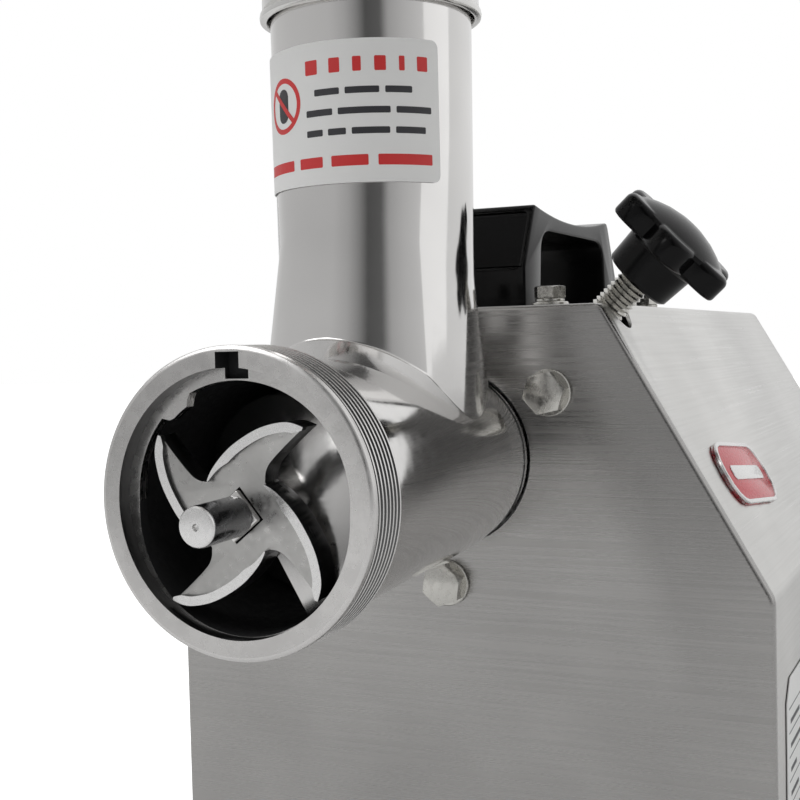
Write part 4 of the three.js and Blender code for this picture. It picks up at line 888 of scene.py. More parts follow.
def ledge_radius(turn):
    """The bright ledge's inner edge: round, with lugs where meat is held back."""
    angle = math.degrees(turn) % 360
    radius = 31.6 + 0.25 * math.sin(3 * turn + 0.6)
    for middle, width, depth in ((128, 9, 2.6), (300, 8, 2.4), (215, 7, 1.6), (188, 4, 1.2)):
        away = abs((angle - middle + 180) % 360 - 180)
        radius -= depth * max(0.0, min(1.0, (width - away) / 2.5))
    return radius


seat = bar("seat", SEAT_RADIUS, (0, MOUTH_Y - 5, 0), (0, SEAT_DEPTH + 5, 0), 160)
# The seat's wall gets the dark steel as painted shade.
seat.data.materials.append(painted_shade_steel)
turns = [2 * math.pi * i / 144 for i in range(144)]
ledge_edge = [(ledge_radius(t) * math.cos(t), MOUTH_Y + 1, ledge_radius(t) * math.sin(t)) for t in turns]
ledge = extruded("ledge", ledge_edge, (0, LEDGE_BACK - MOUTH_Y - 1, 0))
ledge.data.materials.append(ring_steel)
BORE_PROFILE = [(0, LEDGE_BACK - 1.2), (31.9, LEDGE_BACK - 1.2), (BORE_FRONT, LEDGE_BACK),
                (BORE_FRONT, -112), (31.8, -90), (BORE_REAR, -4), (0, -4)]
bore = spun("bore", BORE_PROFILE, steps=96)
# The bore gets the near-black as painted shade; so do the worm's room, the bush hole, the spigot's room and
# the key slot below.
bore.data.materials.append(painted_shade_black)
sweep = spun("worm_room", [(0, -158), (31.5, -158), (31.6, -128), (24.8, -4), (0, -4)], steps=96)
sweep.data.transform(
    Matrix.Translation(HEAD) @ Matrix.Rotation(DROOP, 4, "X") @ Matrix.Translation(-HEAD))
sweep.data.materials.append(painted_shade_black)
THROAT_TOP = 191
throat_top_radius = tube_radius(THROAT_TOP) - TUBE_WALL
throat_profile = [(0, 4), (TUBE_RADIUS - TUBE_WALL, 4), (throat_top_radius, THROAT_TOP), (0, THROAT_TOP)]
throat = spun("throat", throat_profile,
              axis="Z", centre=(0, TUBE_Y, 0), steps=96)
throat.data.materials.append(tube_steel)
bush_hole = bar("bush_hole", 13.3, (0, -9, 0), (0, 20, 0), 48)
spigot_room = bar("spigot_room", 25.7, (0, 6, 0), (0, 25, 0), 64)
for tool in (bush_hole, spigot_room):
    tool.data.materials.append(painted_shade_black)
key = block("key", (-KEY_WIDTH / 2, MOUTH_Y - 5, SEAT_RADIUS - 3),
            (KEY_WIDTH / 2, MOUTH_Y + SEAT_DEPTH + 2, SEAT_RADIUS + KEY_DEPTH))
key.data.materials.append(painted_shade_black)
barrel.data.materials.append(barrel_steel)
cut(barrel, seat, ledge, bore, sweep, throat, bush_hole, spigot_room, key)
head_slots = [material.name for material in barrel.data.materials]
print("head slots:", head_slots)


# %% Bright faces and dark roots
# The ledge and the mouth's face are turned bright; the roots of the thread get painted shade.
def recolour(piece, material, chosen):
    """Moves the faces for which chosen(centre, normal) is true to a material's slot."""
    names = [slot.name for slot in piece.data.materials]
    if material.name not in names:
        piece.data.materials.append(material)
        names.append(material.name)
    changed = 0
    for face in piece.data.polygons:
        if chosen((face.center - HEAD) / MM, face.normal):
            face.material_index = names.index(material.name)
            changed += 1
    return changed


def on_turned_face(centre, normal):
    level = any(abs(centre.y - y) < 0.1 for y in (MOUTH_Y, MOUTH_Y + SEAT_DEPTH))
    return normal.y < -0.9 and level


def in_thread_root(centre, normal):
    radius = math.hypot(centre.x, centre.z)
    in_thread = MOUTH_Y + 2.4 < centre.y < MOUTH_Y + THREAD_LENGTH + 1
    return in_thread and MOUTH_RADIUS - 1.6 < radius < MOUTH_RADIUS - 0.62


def on_thread(centre, normal):
    radius = math.hypot(centre.x, centre.z)
    return centre.y < MOUTH_Y + THREAD_LENGTH + 1 and radius > MOUTH_RADIUS - 1.7


print(recolour(barrel, ring_steel, on_turned_face), "turned faces")
print(recolour(barrel, thread_steel, on_thread), "thread faces")
# Painted shade in the thread roots: the dark steel.
print(recolour(barrel, painted_shade_steel, in_thread_root), "thread roots")
dress(barrel, barrel_steel, body="grinding_head", nodes=["head_casting"], angle=32)

# %% [markdown]
# ## Worm, knife and pin
# The worm is a tapering core with one band wound round it. The band's half section is drawn
# once and a Screw modifier winds it; the turns are then pulled in towards the rear, because the
# bore tapers. The knife is a flat casting with four curved arms. Each arm's cutting edge stands
# a little proud of the arm, ground flat, and shines more than the rest.

# %% Worm
WORM_FRONT = -128.0
WORM_CORE = [(0, -128.2), (9.9, -128.2), (10.5, -127.6), (10.5, -118), (13, -6), (10, -5),
             (10, 10), (0, 10)]
FLIGHT_THICK = 6.0
FLIGHT_FRONT = 30.8
FLIGHT_REAR = 24.0
PITCH = 39.0
TURN_COUNT = 2.9
START_TURN = math.radians(-60)
SQUARE_SIDE = 9.8
SQUARE_TURN = math.radians(39)
KNIFE_FRONT = MOUTH_Y + 2.0
KNIFE_THICK = 8.0


def wound_band():
    """The flight's section, wound by a Screw modifier."""
    section = [(6.5, 0.3), (6.5, FLIGHT_THICK - 0.3), (FLIGHT_FRONT - 0.9, FLIGHT_THICK),
               (FLIGHT_FRONT - 0.2, FLIGHT_THICK - 0.6), (FLIGHT_FRONT, FLIGHT_THICK - 1.5),
               (FLIGHT_FRONT, 1.2), (FLIGHT_FRONT - 0.3, 0.4), (FLIGHT_FRONT - 1.0, 0)]
    c, s = math.cos(START_TURN), math.sin(START_TURN)
    points = [(r * c, WORM_FRONT + y, r * s) for r, y in section]
    band = draw("band", points)
    bpy.ops.mesh.edge_face_add()
    bpy.ops.object.mode_set(mode="OBJECT")
    band.data.transform(Matrix.Translation(-HEAD))
    winding = band.modifiers.new("winding", "SCREW")
    winding.axis = "Y"
    winding.angle = -2 * math.pi * TURN_COUNT
    winding.screw_offset = PITCH * TURN_COUNT * MM
    winding.iterations = 1
    winding.steps = 180
    winding.render_steps = 180
    bpy.ops.object.modifier_apply(modifier=winding.name)
    for vertex in band.data.vertices:
        share = (vertex.co.y / MM - WORM_FRONT) / -WORM_FRONT
        radius = math.hypot(vertex.co.x, vertex.co.z)
        limit = (FLIGHT_FRONT + (FLIGHT_REAR - FLIGHT_FRONT) * max(0, min(1, share))) * MM
        pull = 1 if radius < 0.02 else limit / (FLIGHT_FRONT * MM)
        vertex.co.x *= pull
        vertex.co.z *= pull
    band.data.transform(Matrix.Translation(HEAD))
    return band


worm = spun("worm_body", WORM_CORE, steps=64)
band = wound_band()
active(band)
bpy.ops.object.mode_set(mode="EDIT")
close_up()
cut(band, block("behind", (-60, -5.5, -60), (60, 60, 60)))
half = SQUARE_SIDE / 2
square = block("square", (-half, KNIFE_FRONT - 0.5, -half), (half, WORM_FRONT + 4, half))
soften(square, 0.5, 2, 50)
turned_square = Matrix.Rotation(-SQUARE_TURN, 4, "Y")
square.data.transform(Matrix.Translation(HEAD) @ turned_square @ Matrix.Translation(-HEAD))
tang = block("tang", (-7, 9, -7), (7, 34, 7))
weld(worm, square, soften(tang, 0.8, 2, 50))
cut(worm, bar("pin_hole", 4.7, (0, -170, 0), (0, 54, 0), 40))
active(worm)
band.select_set(True)
bpy.ops.object.join()
lean = Matrix.Translation(HEAD) @ Matrix.Rotation(DROOP, 4, "X") @ Matrix.Translation(-HEAD)
worm.data.transform(lean)
dress(worm, worm_steel, body="worm_assembly", nodes=["worm"], angle=40)
print(f"worm: {len(worm.data.polygons)} faces")

# %% Knife outline
# Each arm's two edges, as (radius, degrees back from the tip).
ARM_FRONT = [(12.2, -2), (13.9, 3.5), (16, 5.6), (18.4, 5), (21.9, 3.4), (24.8, 2.2), (28.5, 0.8)]
ARM_BACK = [(30.8, 0), (29.1, 8), (25.4, 18.5), (20.6, 33), (17.2, 47.5), (14.6, 63), (12.1, 85.5)]
TIP_TURN = 48
ARMS = 4


def polar(radius, degrees):
    return radius * math.cos(math.radians(degrees)), radius * math.sin(math.radians(degrees))


def arm_edges(arm, steps=4):
    tip = TIP_TURN + 360 * arm / ARMS
    return [[polar(r, tip + back) for r, back in smooth_curve(edge, steps)]
            for edge in (ARM_FRONT, ARM_BACK)]


outline = []
for arm in range(ARMS):
    front_edge, back_edge = arm_edges(arm)
    outline += front_edge + back_edge
LAND_STEP = 1.2
blade = [(x, KNIFE_FRONT + LAND_STEP, z) for x, z in outline]
knife = extruded("knife_blade", blade, (0, KNIFE_THICK - LAND_STEP, 0))
soften(knife, 0.35, 2, 60)

# %% Ground lands along the cutting edges
LAND_WIDTH = 2.5


def land(arm):
    """A strip beside the arm's convex edge, fading to a point at the hub."""
    edge = arm_edges(arm, 5)[1]
    inner = []
    for i, (x, z) in enumerate(edge):
        before, after = Vector(edge[max(0, i - 1)]), Vector(edge[min(len(edge) - 1, i + 1)])
        tangent = (after - before).normalized()
        share = i / (len(edge) - 1)
        width = LAND_WIDTH * min(1, 0.35 + 6 * share) * min(1, 3.5 * (1 - share) + 0.12)
        inner.append((x - tangent.y * width, z + tangent.x * width))
    if Vector(inner[len(inner) // 2]).length > Vector(edge[len(edge) // 2]).length:
        inner = [(2 * x - ix, 2 * z - iz) for (x, z), (ix, iz) in zip(edge, inner)]
    corners = edge + inner[::-1]
    strip = extruded("land", [(x, KNIFE_FRONT, z) for x, z in corners], (0, LAND_STEP + 0.8, 0))
    strip.data.materials.append(land_steel)
    edge_points = [Vector(point) for point in edge]

    def on_inner_wall(centre, normal):
        here = Vector((centre.x, centre.z))
        return abs(normal.y) < 0.5 and min((here - point).length for point in edge_points) > 1.0

    # The land's inner wall, the step down to the arm, gets the near-black as painted shade: a dark line
    # beside the land.
    recolour(strip, painted_shade_black, on_inner_wall)
    return strip


knife.data.materials.append(knife_steel)
weld(knife, *[land(arm) for arm in range(ARMS)])
hole_half = SQUARE_SIDE / 2 + 0.4
square_hole = block("square_hole", (-hole_half, KNIFE_FRONT - 4, -hole_half),
                    (hole_half, KNIFE_FRONT + 12, hole_half))
square_hole.data.transform(Matrix.Translation(HEAD) @ turned_square @ Matrix.Translation(-HEAD))
# The square hole's walls get the near-black as painted shade.
square_hole.data.materials.append(painted_shade_black)
cut(knife, square_hole)
HUB_HOLE_REACH = 8


def on_knife_side(centre, normal):
    return abs(normal.y) < 0.5 and math.hypot(centre.x, centre.z) > HUB_HOLE_REACH


# The arms' side walls get the dark steel as painted shade.
recolour(knife, painted_shade_steel, on_knife_side)
knife.data.transform(lean)
dress(knife, knife_steel, body="worm_assembly", nodes=["knife"], angle=28)
print(f"knife: {len(knife.data.polygons)} faces, slots {[m.name for m in knife.data.materials]}")

# %% Pin
PIN_TIP = MOUTH_Y - 16.0
pin_profile = [
    (0, PIN_TIP + 1.1), (0.75, PIN_TIP + 0.9), (0.95, PIN_TIP), (4.4, PIN_TIP), (4.9, PIN_TIP + 0.15),
    (5.2, PIN_TIP + 0.55), (5.3, PIN_TIP + 1.2), (5.3, KNIFE_FRONT - 0.8), (4.4, KNIFE_FRONT - 0.8),
    (4.4, WORM_FRONT + 11), (0, WORM_FRONT + 11),
]
pin = spun("worm_front_pin", pin_profile, steps=64)
pin.data.materials.append(pin_steel)
recolour(pin, land_steel, lambda centre, normal: centre.y < PIN_TIP + 1.3 and normal.y < -0.2)
pin.data.transform(lean)
dress(pin, pin_steel, body="worm_assembly", nodes=["worm_pin"])

# %% [markdown]
# ## Bolts and washers
# A hexagon head is a six-sided prism whose corners are turned down by a cone. Cutting the prism
# with that cone gives the curved edges that a bevel can't. Under it are the plain washer and,
# on top, a split spring washer.


# %% Hexagon bolts
def hexagon(name, flats, head, base):
    """A hexagon head from base to base + head along +Y, with its corners turned down."""
    corner = flats / math.sqrt(3)
    prism = extruded(name, [(x, base, z) for x, z in wave(6, corner)], (0, head, 0))
    fall = corner - flats / 2
    turned = spun("turned", [
        (0, base - 1), (corner + 1, base - 1), (corner + 1, base + head - fall * 0.75),
        (corner, base + head - fall * 0.6), (flats / 2 - 0.35, base + head), (0, base + head),
    ], steps=96)
    return with_tool(prism, [turned], "INTERSECT")


def washer(name, inner, outer, base, thick):
    return spun(name, [
        (inner, base), (outer - 0.25, base), (outer, base + 0.25), (outer, base + thick - 0.3),
        (outer - 0.3, base + thick), (inner, base + thick),
    ], steps=64)


def threaded_shank(radius, pitch, start, end):
    """Thread crests as rings: close enough together that the helix can't be told."""
    points = [(0, start), (radius * 0.8, start)]
    y = start + 0.3
    while y < end - pitch:
        points += [(radius * 0.86, y), (radius * 0.98, y + pitch * 0.42), (radius, y + pitch * 0.5),
                   (radius * 0.98, y + pitch * 0.58)]
        y += pitch
    points += [(radius * 0.86, y), (radius * 0.86, end), (0, end)]
    return spun("shank", points, steps=40)


front_head = hexagon("hex", 13, 5.3, 1.9)
front_head = weld(front_head, threaded_shank(4, 1.25, -11, 2.5))
front_washer = washer("plain_washer", 4.2, 8, 0.3, 1.6)
HEX_TURNS = (12, 38, 21)
for index, ((x, z), turn) in enumerate(zip(FRONT_BOLTS, HEX_TURNS), start=1):
    for part, label in ((front_head, "head"), (front_washer, "washer")):
        piece = copy_of(part, f"front_bolt_{label}_{index}")
        piece.data.transform(Matrix.Translation(-HEAD))
        piece.data.transform(Matrix.Rotation(math.radians(turn), 4, "Y"))
        piece.data.transform(Matrix.Translation(at(x, 0, z)) @ Matrix.Rotation(math.pi, 4, "Z"))
        dress(piece, zinc, nodes=[f"front_bolt_{index}"] if label == "head" else ())

top_head = weld(hexagon("hex", 10, 4.2, 2.9), threaded_shank(3, 1.0, -9, 3.2))
top_washer = washer("plain_washer", 3.2, 6.5, 0.3, 1.2)
spring = cut(washer("spring_washer", 3.2, 5.2, 1.55, 1.25), block("split", (2, 0, -0.35), (7, 5, 0.35)))
for index, (x, y) in enumerate(TOP_BOLTS, start=1):
    for part, label in ((top_head, "head"), (top_washer, "washer"), (spring, "spring")):
        piece = copy_of(part, f"top_bolt_{label}_{index}")
        aimed(piece, (x, y, TOP_Z), (0, 0, 1))
        dress(piece, zinc, nodes=[f"top_bolt_{index}"] if label == "head" else ())
for pattern in (front_head, front_washer, top_head, top_washer, spring):
    bpy.data.objects.remove(pattern)

# %% [markdown]
# ## Clamp screw
# A star knob with six lobes turns a steel stud that presses on the head's neck. The star's
# outline is a circle that swells and shrinks with the angle, its edges are well rounded, and a
# low dome rises out of its middle.

# %% Star knob
HUB_START = 87.2
HUB_LENGTH = 13.0
HUB_RADIUS = 12.4
KNOB_RADIUS = 24.5
KNOB_THICK = 9.0
KNOB_DOME = 4.5
LOBES = 6
STUD_RADIUS = 6.0
STUD_PITCH = 1.75
clamp_spot = (0, CLAMP_Y, 0)


def star_outline():
    """Rounded lobes joined by hollows of a larger radius."""
    points = []
    for i in range(LOBES * 24):
        turn = 2 * math.pi * i / (LOBES * 24)
        phase = math.cos(LOBES * turn + math.pi)
        swell = 0.5 + 0.5 * phase
        radius = KNOB_RADIUS - 6.6 * (1 - swell ** 0.62)
        points.append((radius * math.cos(turn), radius * math.sin(turn)))
    return points


star_base = HUB_START + HUB_LENGTH
star = extruded("clamp_star", [(x, star_base, z) for x, z in star_outline()], (0, KNOB_THICK, 0))
bevel_edges(star, lambda m, d: abs(m.y - star_base - KNOB_THICK) < 0.01, 2.6, 5)
bevel_edges(star, lambda m, d: abs(m.y - star_base) < 0.01, 1.2, 3)
dome_start = star_base + KNOB_THICK
dome = spun("dome", [(0, dome_start - 2), (19, dome_start - 2), (18.6, dome_start - 0.6),
                     (17, dome_start + 0.3), (14, dome_start + 1.7), (10, dome_start + 3.1),
                     (5, dome_start + 4.1), (0, dome_start + KNOB_DOME)], steps=96)
hub = spun("hub", [(0, HUB_START), (11.6, HUB_START), (HUB_RADIUS, HUB_START + 0.8),
                   (13.2, star_base - 1.5), (14.2, star_base - 0.3), (15.2, star_base + 0.6),
                   (0, star_base + 0.6)], steps=96)
weld(star, dome, hub)
cut(star, bar("stud_hole", STUD_RADIUS + 0.3, (0, HUB_START - 3, 0), (0, 14, 0), 48))
aimed(star, clamp_spot, CLAMP_DIRECTION)
dress(star, black_plastic, body="clamp_screw", nodes=["clamp_knob"], angle=35)

# %% Threaded stud
stud = threaded_shank(STUD_RADIUS, STUD_PITCH, 36, HUB_START + 10)
stud.name = "clamp_thread"
aimed(stud, clamp_spot, CLAMP_DIRECTION)
dress(stud, zinc, body="clamp_screw", nodes=["clamp_stud"])
print(f"knob and stud: {len(star.data.polygons) + len(stud.data.polygons)} faces")

# %% [markdown]
# ## Carrying handle
# The handle is one black moulding: two legs that lean in, and a grip that dips for the hand. It
# is hollow at both ends, as thick mouldings are, so the plastic cools evenly. The side view is
# drawn as an outline and extruded across, the hollows are cut, and every edge is rounded.

# %% Handle
HANDLE_FRONT = 30.0
HANDLE_LENGTH = 120.0
HANDLE_HALF = 20.0
HANDLE_TOP = TOP_Z + 38.5
HANDLE_BASE = TOP_Z + SEAM
LEG = 17.0
LEAN = 13.0
BLOCK = 14.5
GRIP = 9.0
DIP = 4.0
SKIN = 2.6
POCKET = 13.0


def bend(start, middle, end, steps=8):
    """A quadratic curve without its first point."""
    a, b, c = Vector(start), Vector(middle), Vector(end)
    return [tuple((1 - t) ** 2 * a + 2 * t * (1 - t) * b + t ** 2 * c)
            for t in (i / steps for i in range(1, steps + 1))]


y0, y1 = HANDLE_FRONT, HANDLE_FRONT + HANDLE_LENGTH
grip_low = HANDLE_TOP - GRIP
side = [(y0, HANDLE_BASE), (y0 + LEG, HANDLE_BASE), (y0 + LEG + 2, grip_low - 8)]
side += bend(side[-1], (y0 + LEG + 3, grip_low), (y0 + LEG + 14, grip_low))
side += [(y1 - LEG - 14, grip_low)]
side += bend(side[-1], (y1 - LEG - 3, grip_low), (y1 - LEG - 2, grip_low - 8))
side += [(y1 - LEG, HANDLE_BASE), (y1, HANDLE_BASE), (y1, HANDLE_BASE + BLOCK),
         (y1 - LEAN + 2, HANDLE_TOP - 2), (y1 - LEAN, HANDLE_TOP)]
side += bend(side[-1], ((y0 + y1) / 2, HANDLE_TOP - 2 * DIP), (y0 + LEAN, HANDLE_TOP), 16)
side += [(y0 + LEAN - 2, HANDLE_TOP - 2), (y0, HANDLE_BASE + BLOCK)]
handle = extruded("handle", [(-HANDLE_HALF, y, z) for y, z in side], (2 * HANDLE_HALF, 0, 0))
for front_y, back_y in ((y0 - 5, y0 + POCKET), (y1 - POCKET, y1 + 5)):
    pocket = block("pocket", (-HANDLE_HALF + SKIN, front_y, HANDLE_BASE + BLOCK),
                   (HANDLE_HALF - SKIN, back_y, HANDLE_TOP - SKIN))
    cut(handle, bevel_edges(pocket, lambda m, d: abs(d.y) > 0.99, 1.6, 3))
soften(handle, 0.9, 3, 40)
dress(handle, black_plastic, nodes=["carry_handle"], angle=35)
print(f"handle: {len(handle.data.polygons)} faces")

# %% [markdown]
# ## Films and badge
# The feed tube carries a warning film. A film is drawn flat, as width along the tube's skin and
# height, and every point is then wrapped round the cone, so ink and film bend together. Words
# are left as bars and dashes, as a sketch of a page does.

# %% Wrapping flat shapes round the tube
film_low, film_high = size_of("tube_sticker")
FILM_LEFT = math.radians(-72)
FILM_RIGHT = math.radians(64)
FILM_THICK = 0.3


def wrapped(piece, lift):
    """x is millimetres round the tube from the front, z is height, y is how far it stands out."""
    for vertex in piece.data.vertices:
        x, y, z = (vertex.co - HEAD) / MM
        radius = tube_radius(z) + SEAM + lift - y
        turn = x / tube_radius(z)
        vertex.co = at(radius * math.sin(turn), TUBE_Y - radius * math.cos(turn), z)
    return piece


def rounded_box(name, x0, x1, z0, z1, corner, depth, columns=1):
    """A rounded rectangle, divided along its width so that it can bend."""
    points = []
    for cx, cz, start in ((x1 - corner, z1 - corner, 0), (x0 + corner, z1 - corner, 90),
                          (x0 + corner, z0 + corner, 180), (x1 - corner, z0 + corner, 270)):
        for step in range(5):
            turn = math.radians(start + 22.5 * step)
            points.append((cx + corner * math.cos(turn), 0, cz + corner * math.sin(turn)))
    piece = extruded(name, points, (0, depth, 0))
    active(piece)
    bpy.ops.object.mode_set(mode="EDIT")
    for column in range(1, columns):
        bpy.ops.mesh.select_all(action="SELECT")
        spot = x0 + (x1 - x0) * column / columns
        bpy.ops.mesh.bisect(plane_co=at(spot, 0, 0), plane_no=(1, 0, 0))
    bpy.ops.object.mode_set(mode="OBJECT")
    return piece


middle_radius = tube_radius((film_low.z + film_high.z) / 2)
film_x0, film_x1 = FILM_LEFT * middle_radius, FILM_RIGHT * middle_radius
flat_film = rounded_box("tube_film", film_x0, film_x1, film_low.z, film_high.z, 2.2, FILM_THICK, 56)
film = wrapped(flat_film, FILM_THICK)
dress(film, film_white, body="grinding_head", nodes=["tube_sticker"])

# %% Ink on the film: a ring with a bar, a heading, dashes and a footing
INK_LIFT = FILM_THICK + 0.05
INK_THICK = 0.05


def ink_bar(name, x0, x1, z, tall):
    columns = max(1, round((x1 - x0) / 1.4))
    flat = rounded_box(name, x0, x1, z - tall / 2, z + tall / 2, min(0.35, tall / 2.5), INK_THICK, columns)
    return wrapped(flat, INK_LIFT)


def dashes(name, x0, x1, z, tall, lengths):
    """A row of dashes of uneven length, fitted between two ends."""
    space = 0.9 * tall
    room = (x1 - x0) - space * (len(lengths) - 1)
    parts = []
    x = x0
    for length in lengths:
        wide = room * length / sum(lengths)
        parts.append(ink_bar(name, x, x + wide, z, tall))
        x += wide + space
    active(parts[0])
    for part in parts[1:]:
        part.select_set(True)
    bpy.ops.object.join()
    return parts[0]


film_top = film_high.z
TEXT_LEFT = -6.5
TEXT_RIGHT = 31.5
heading = dashes("film_heading", TEXT_LEFT, TEXT_RIGHT - 1, film_top - 7.2, 4.2, [5, 4, 3, 4, 2, 4])
rows = [
    dashes("film_row_1", TEXT_LEFT + 3, TEXT_RIGHT - 6, film_top - 14.6, 1.9, [4, 5, 4]),
    dashes("film_row_2", TEXT_LEFT, TEXT_RIGHT, film_top - 20.4, 1.9, [4, 7, 5]),
    dashes("film_row_3", TEXT_LEFT, TEXT_RIGHT - 2, film_top - 26.2, 1.9, [3, 3, 6, 5]),
]
footing = dashes("film_footing", film_x0 + 10, TEXT_RIGHT, film_top - 34.6, 3.1, [6, 3, 4, 6])
for piece in rows:
    dress(piece, ink_dark, body="grinding_head")
for piece in (heading, footing):
    dress(piece, ink_red, body="grinding_head")


# %% The ring with a bar across it
SIGN_X = -17.0
SIGN_RADIUS = 8.2
sign_z = film_top - 16.5


def flat_disc(name, outer, inner):
    ring = spun(name, [(inner, 0), (outer, 0), (outer, INK_THICK), (inner, INK_THICK)], steps=64)
    return moved(ring, SIGN_X, 0, sign_z)


ring = wrapped(flat_disc("film_sign_ring", SIGN_RADIUS, SIGN_RADIUS - 1.5), INK_LIFT)
stroke = rounded_box("film_sign_bar", -SIGN_RADIUS + 1, SIGN_RADIUS - 1, -0.7, 0.7, 0.3, INK_THICK, 12)
stroke.data.transform(Matrix.Translation(HEAD) @ Matrix.Rotation(math.radians(45), 4, "Y")
                      @ Matrix.Translation(-HEAD))
wrapped(moved(stroke, SIGN_X, 0, sign_z), INK_LIFT + 0.05)
sign_shape = rounded_box("film_sign_shape", -2.6, 2.6, -5.0, 5.0, 2.4, INK_THICK, 4)
wrapped(moved(sign_shape, SIGN_X, 0, sign_z), INK_LIFT - 0.01)
dress(ring, ink_red, body="grinding_head")
dress(stroke, ink_red, body="grinding_head")
dress(sign_shape, ink_dark, body="grinding_head")

# %% [markdown]
# ## Badge and rating plate
# The badge is an enamelled casting on the slope: a red lozenge with a bright raised rim and one
# plain raised bar. The rating plate on the side is a printed film with a cut corner, ruled like
# a form.

# %% Badge
SLOPE = math.radians(60)
badge_low, badge_high = size_of("badge_plate")
badge_spot = (badge_low + badge_high) / 2
BADGE_LENGTH = 62.0
BADGE_WIDTH = 24.0
BADGE_THICK = 2.0
outward = Vector((math.sin(SLOPE), 0, math.cos(SLOPE)))
BADGE_TURN = math.radians(6)


def on_slope(piece, lift):
    """A piece drawn in the XZ plane, facing -Y, laid on the slope with its x along the machine."""
    along = Vector((0, 1, 0))
    across = along.cross(outward) * -1
    frame_axes = Matrix((along, -outward, across)).transposed().to_4x4()
    spin_flat = Matrix.Rotation(BADGE_TURN, 4, "Y")
    foot = at(*badge_spot) + outward * lift * MM
    piece.data.transform(Matrix.Translation(foot) @ frame_axes @ spin_flat @ Matrix.Translation(-HEAD))
    active(piece)
    bpy.ops.object.mode_set(mode="EDIT")
    close_up()
    return piece


def lozenge(length, width, corner, depth, name):
    return rounded_box(name, -length / 2, length / 2, -width / 2, width / 2, corner, depth)


plate_body = lozenge(BADGE_LENGTH, BADGE_WIDTH, 11.4, BADGE_THICK * 0.7, "badge_body")
rim_outer = lozenge(BADGE_LENGTH, BADGE_WIDTH, 11.4, BADGE_THICK, "badge_rim")
rim_inner = moved(lozenge(BADGE_LENGTH - 3, BADGE_WIDTH - 3, 9.9, BADGE_THICK + 4, "inner"), 0, -2, 0)
badge_rim = cut(rim_outer, rim_inner)
bar_mark = moved(lozenge(BADGE_LENGTH - 20, 5.5, 2.2, 0.6, "badge_bar"), 0, 0.1, 0)
moved(plate_body, 0, BADGE_THICK * 0.3, 0)
for piece, material in ((plate_body, red_plastic), (badge_rim, land_steel), (bar_mark, land_steel)):
    on_slope(soften(piece, 0.18, 2, 40), BADGE_THICK / 2)
    dress(piece, material, nodes=["badge_plate"] if piece is plate_body else ())
print("badge box", [round(v, 1) for v in badge_low], [round(v, 1) for v in badge_high])

# %% Rating plate on the right side
label_low, label_high = size_of("side_label")
label_x = label_high.x
LABEL_CUT = 7.0


def side_sheet(name, y0, y1, z0, z1, thick, lift, corner_cut=0.0):
    """A film on the right side, with its upper front corner cut off if asked."""
    points = [(y0, z0), (y1, z0), (y1, z1)]
    points += [(y0 + corner_cut, z1), (y0, z1 - corner_cut)] if corner_cut else [(y0, z1)]
    start = label_x - thick + lift
    return extruded(name, [(start, y, z) for y, z in points], (thick, 0, 0))


plate_film = side_sheet("rating_film", label_low.y, label_high.y, label_low.z, label_high.z,
                        0.3, -0.05, LABEL_CUT)
dress(plate_film, film_white, nodes=["side_label"])
RULES = 6
random.seed(12)
ruled = []
for row in range(RULES + 1):
    z = label_high.z - LABEL_CUT - 3 - row * (label_high.z - label_low.z - LABEL_CUT - 8) / RULES
    ruled.append(side_sheet("rule", label_low.y + 4, label_high.y - 4, z - 0.2, z + 0.2, 0.04, 0))
    if row < RULES:
        for column in (label_low.y + 7, label_low.y + 42):
            length = random.uniform(12, 28)
            ruled.append(side_sheet("rule", column, column + length, z - 5.6, z - 4.0, 0.04, 0))
active(ruled[0])
for piece in ruled[1:]:
    piece.select_set(True)
bpy.ops.object.join()
ruled[0].name = "rating_print"
dress(ruled[0], ink_dark)

# %% [markdown]
# ## Loading tray
# The tray is pressed from one sheet: a flat floor with a rounded hollow all round, walls that
# end in a rolled wire edge, and a collar below that slips over the feed tube. The outline of the
# pan is drawn once at each height and the rings are bridged, which is how a press forms it too.

# %% Tray
tray_low, tray_high = size_of("tray")
TRAY_HALF_X = tray_high.x
TRAY_HALF_Y = (tray_high.y - tray_low.y) / 2
TRAY_Y = (tray_high.y + tray_low.y) / 2
TRAY_FLOOR = 198.0
TRAY_RIM = tray_high.z
TRAY_CORNER = 40.0
TRAY_SHEET = 1.5
ROLL = 2.2
CORNER_STEPS = 12


def pan_ring(inset, z):
    """The rounded rectangle of the pan, drawn in from its outside by inset."""
    corner = TRAY_CORNER - inset
    half_x, half_y = TRAY_HALF_X - inset, TRAY_HALF_Y - inset
    points = []
    for quarter, (sx, sy) in enumerate(((1, 1), (-1, 1), (-1, -1), (1, -1))):
        for step in range(CORNER_STEPS + 1):
            turn = math.pi / 2 * (quarter + step / CORNER_STEPS)
            points.append(at(sx * (half_x - corner) + corner * math.cos(turn),
                             TRAY_Y + sy * (half_y - corner) + corner * math.sin(turn), z))
    return points


def arc(cx, cz, radius, start, end, steps=6):
    """Points of an arc as (inset, height); degrees run from outwards towards up."""
    turns = [math.radians(start + (end - start) * i / steps) for i in range(steps + 1)]
    return [(cx - radius * math.cos(t), cz + radius * math.sin(t)) for t in turns]


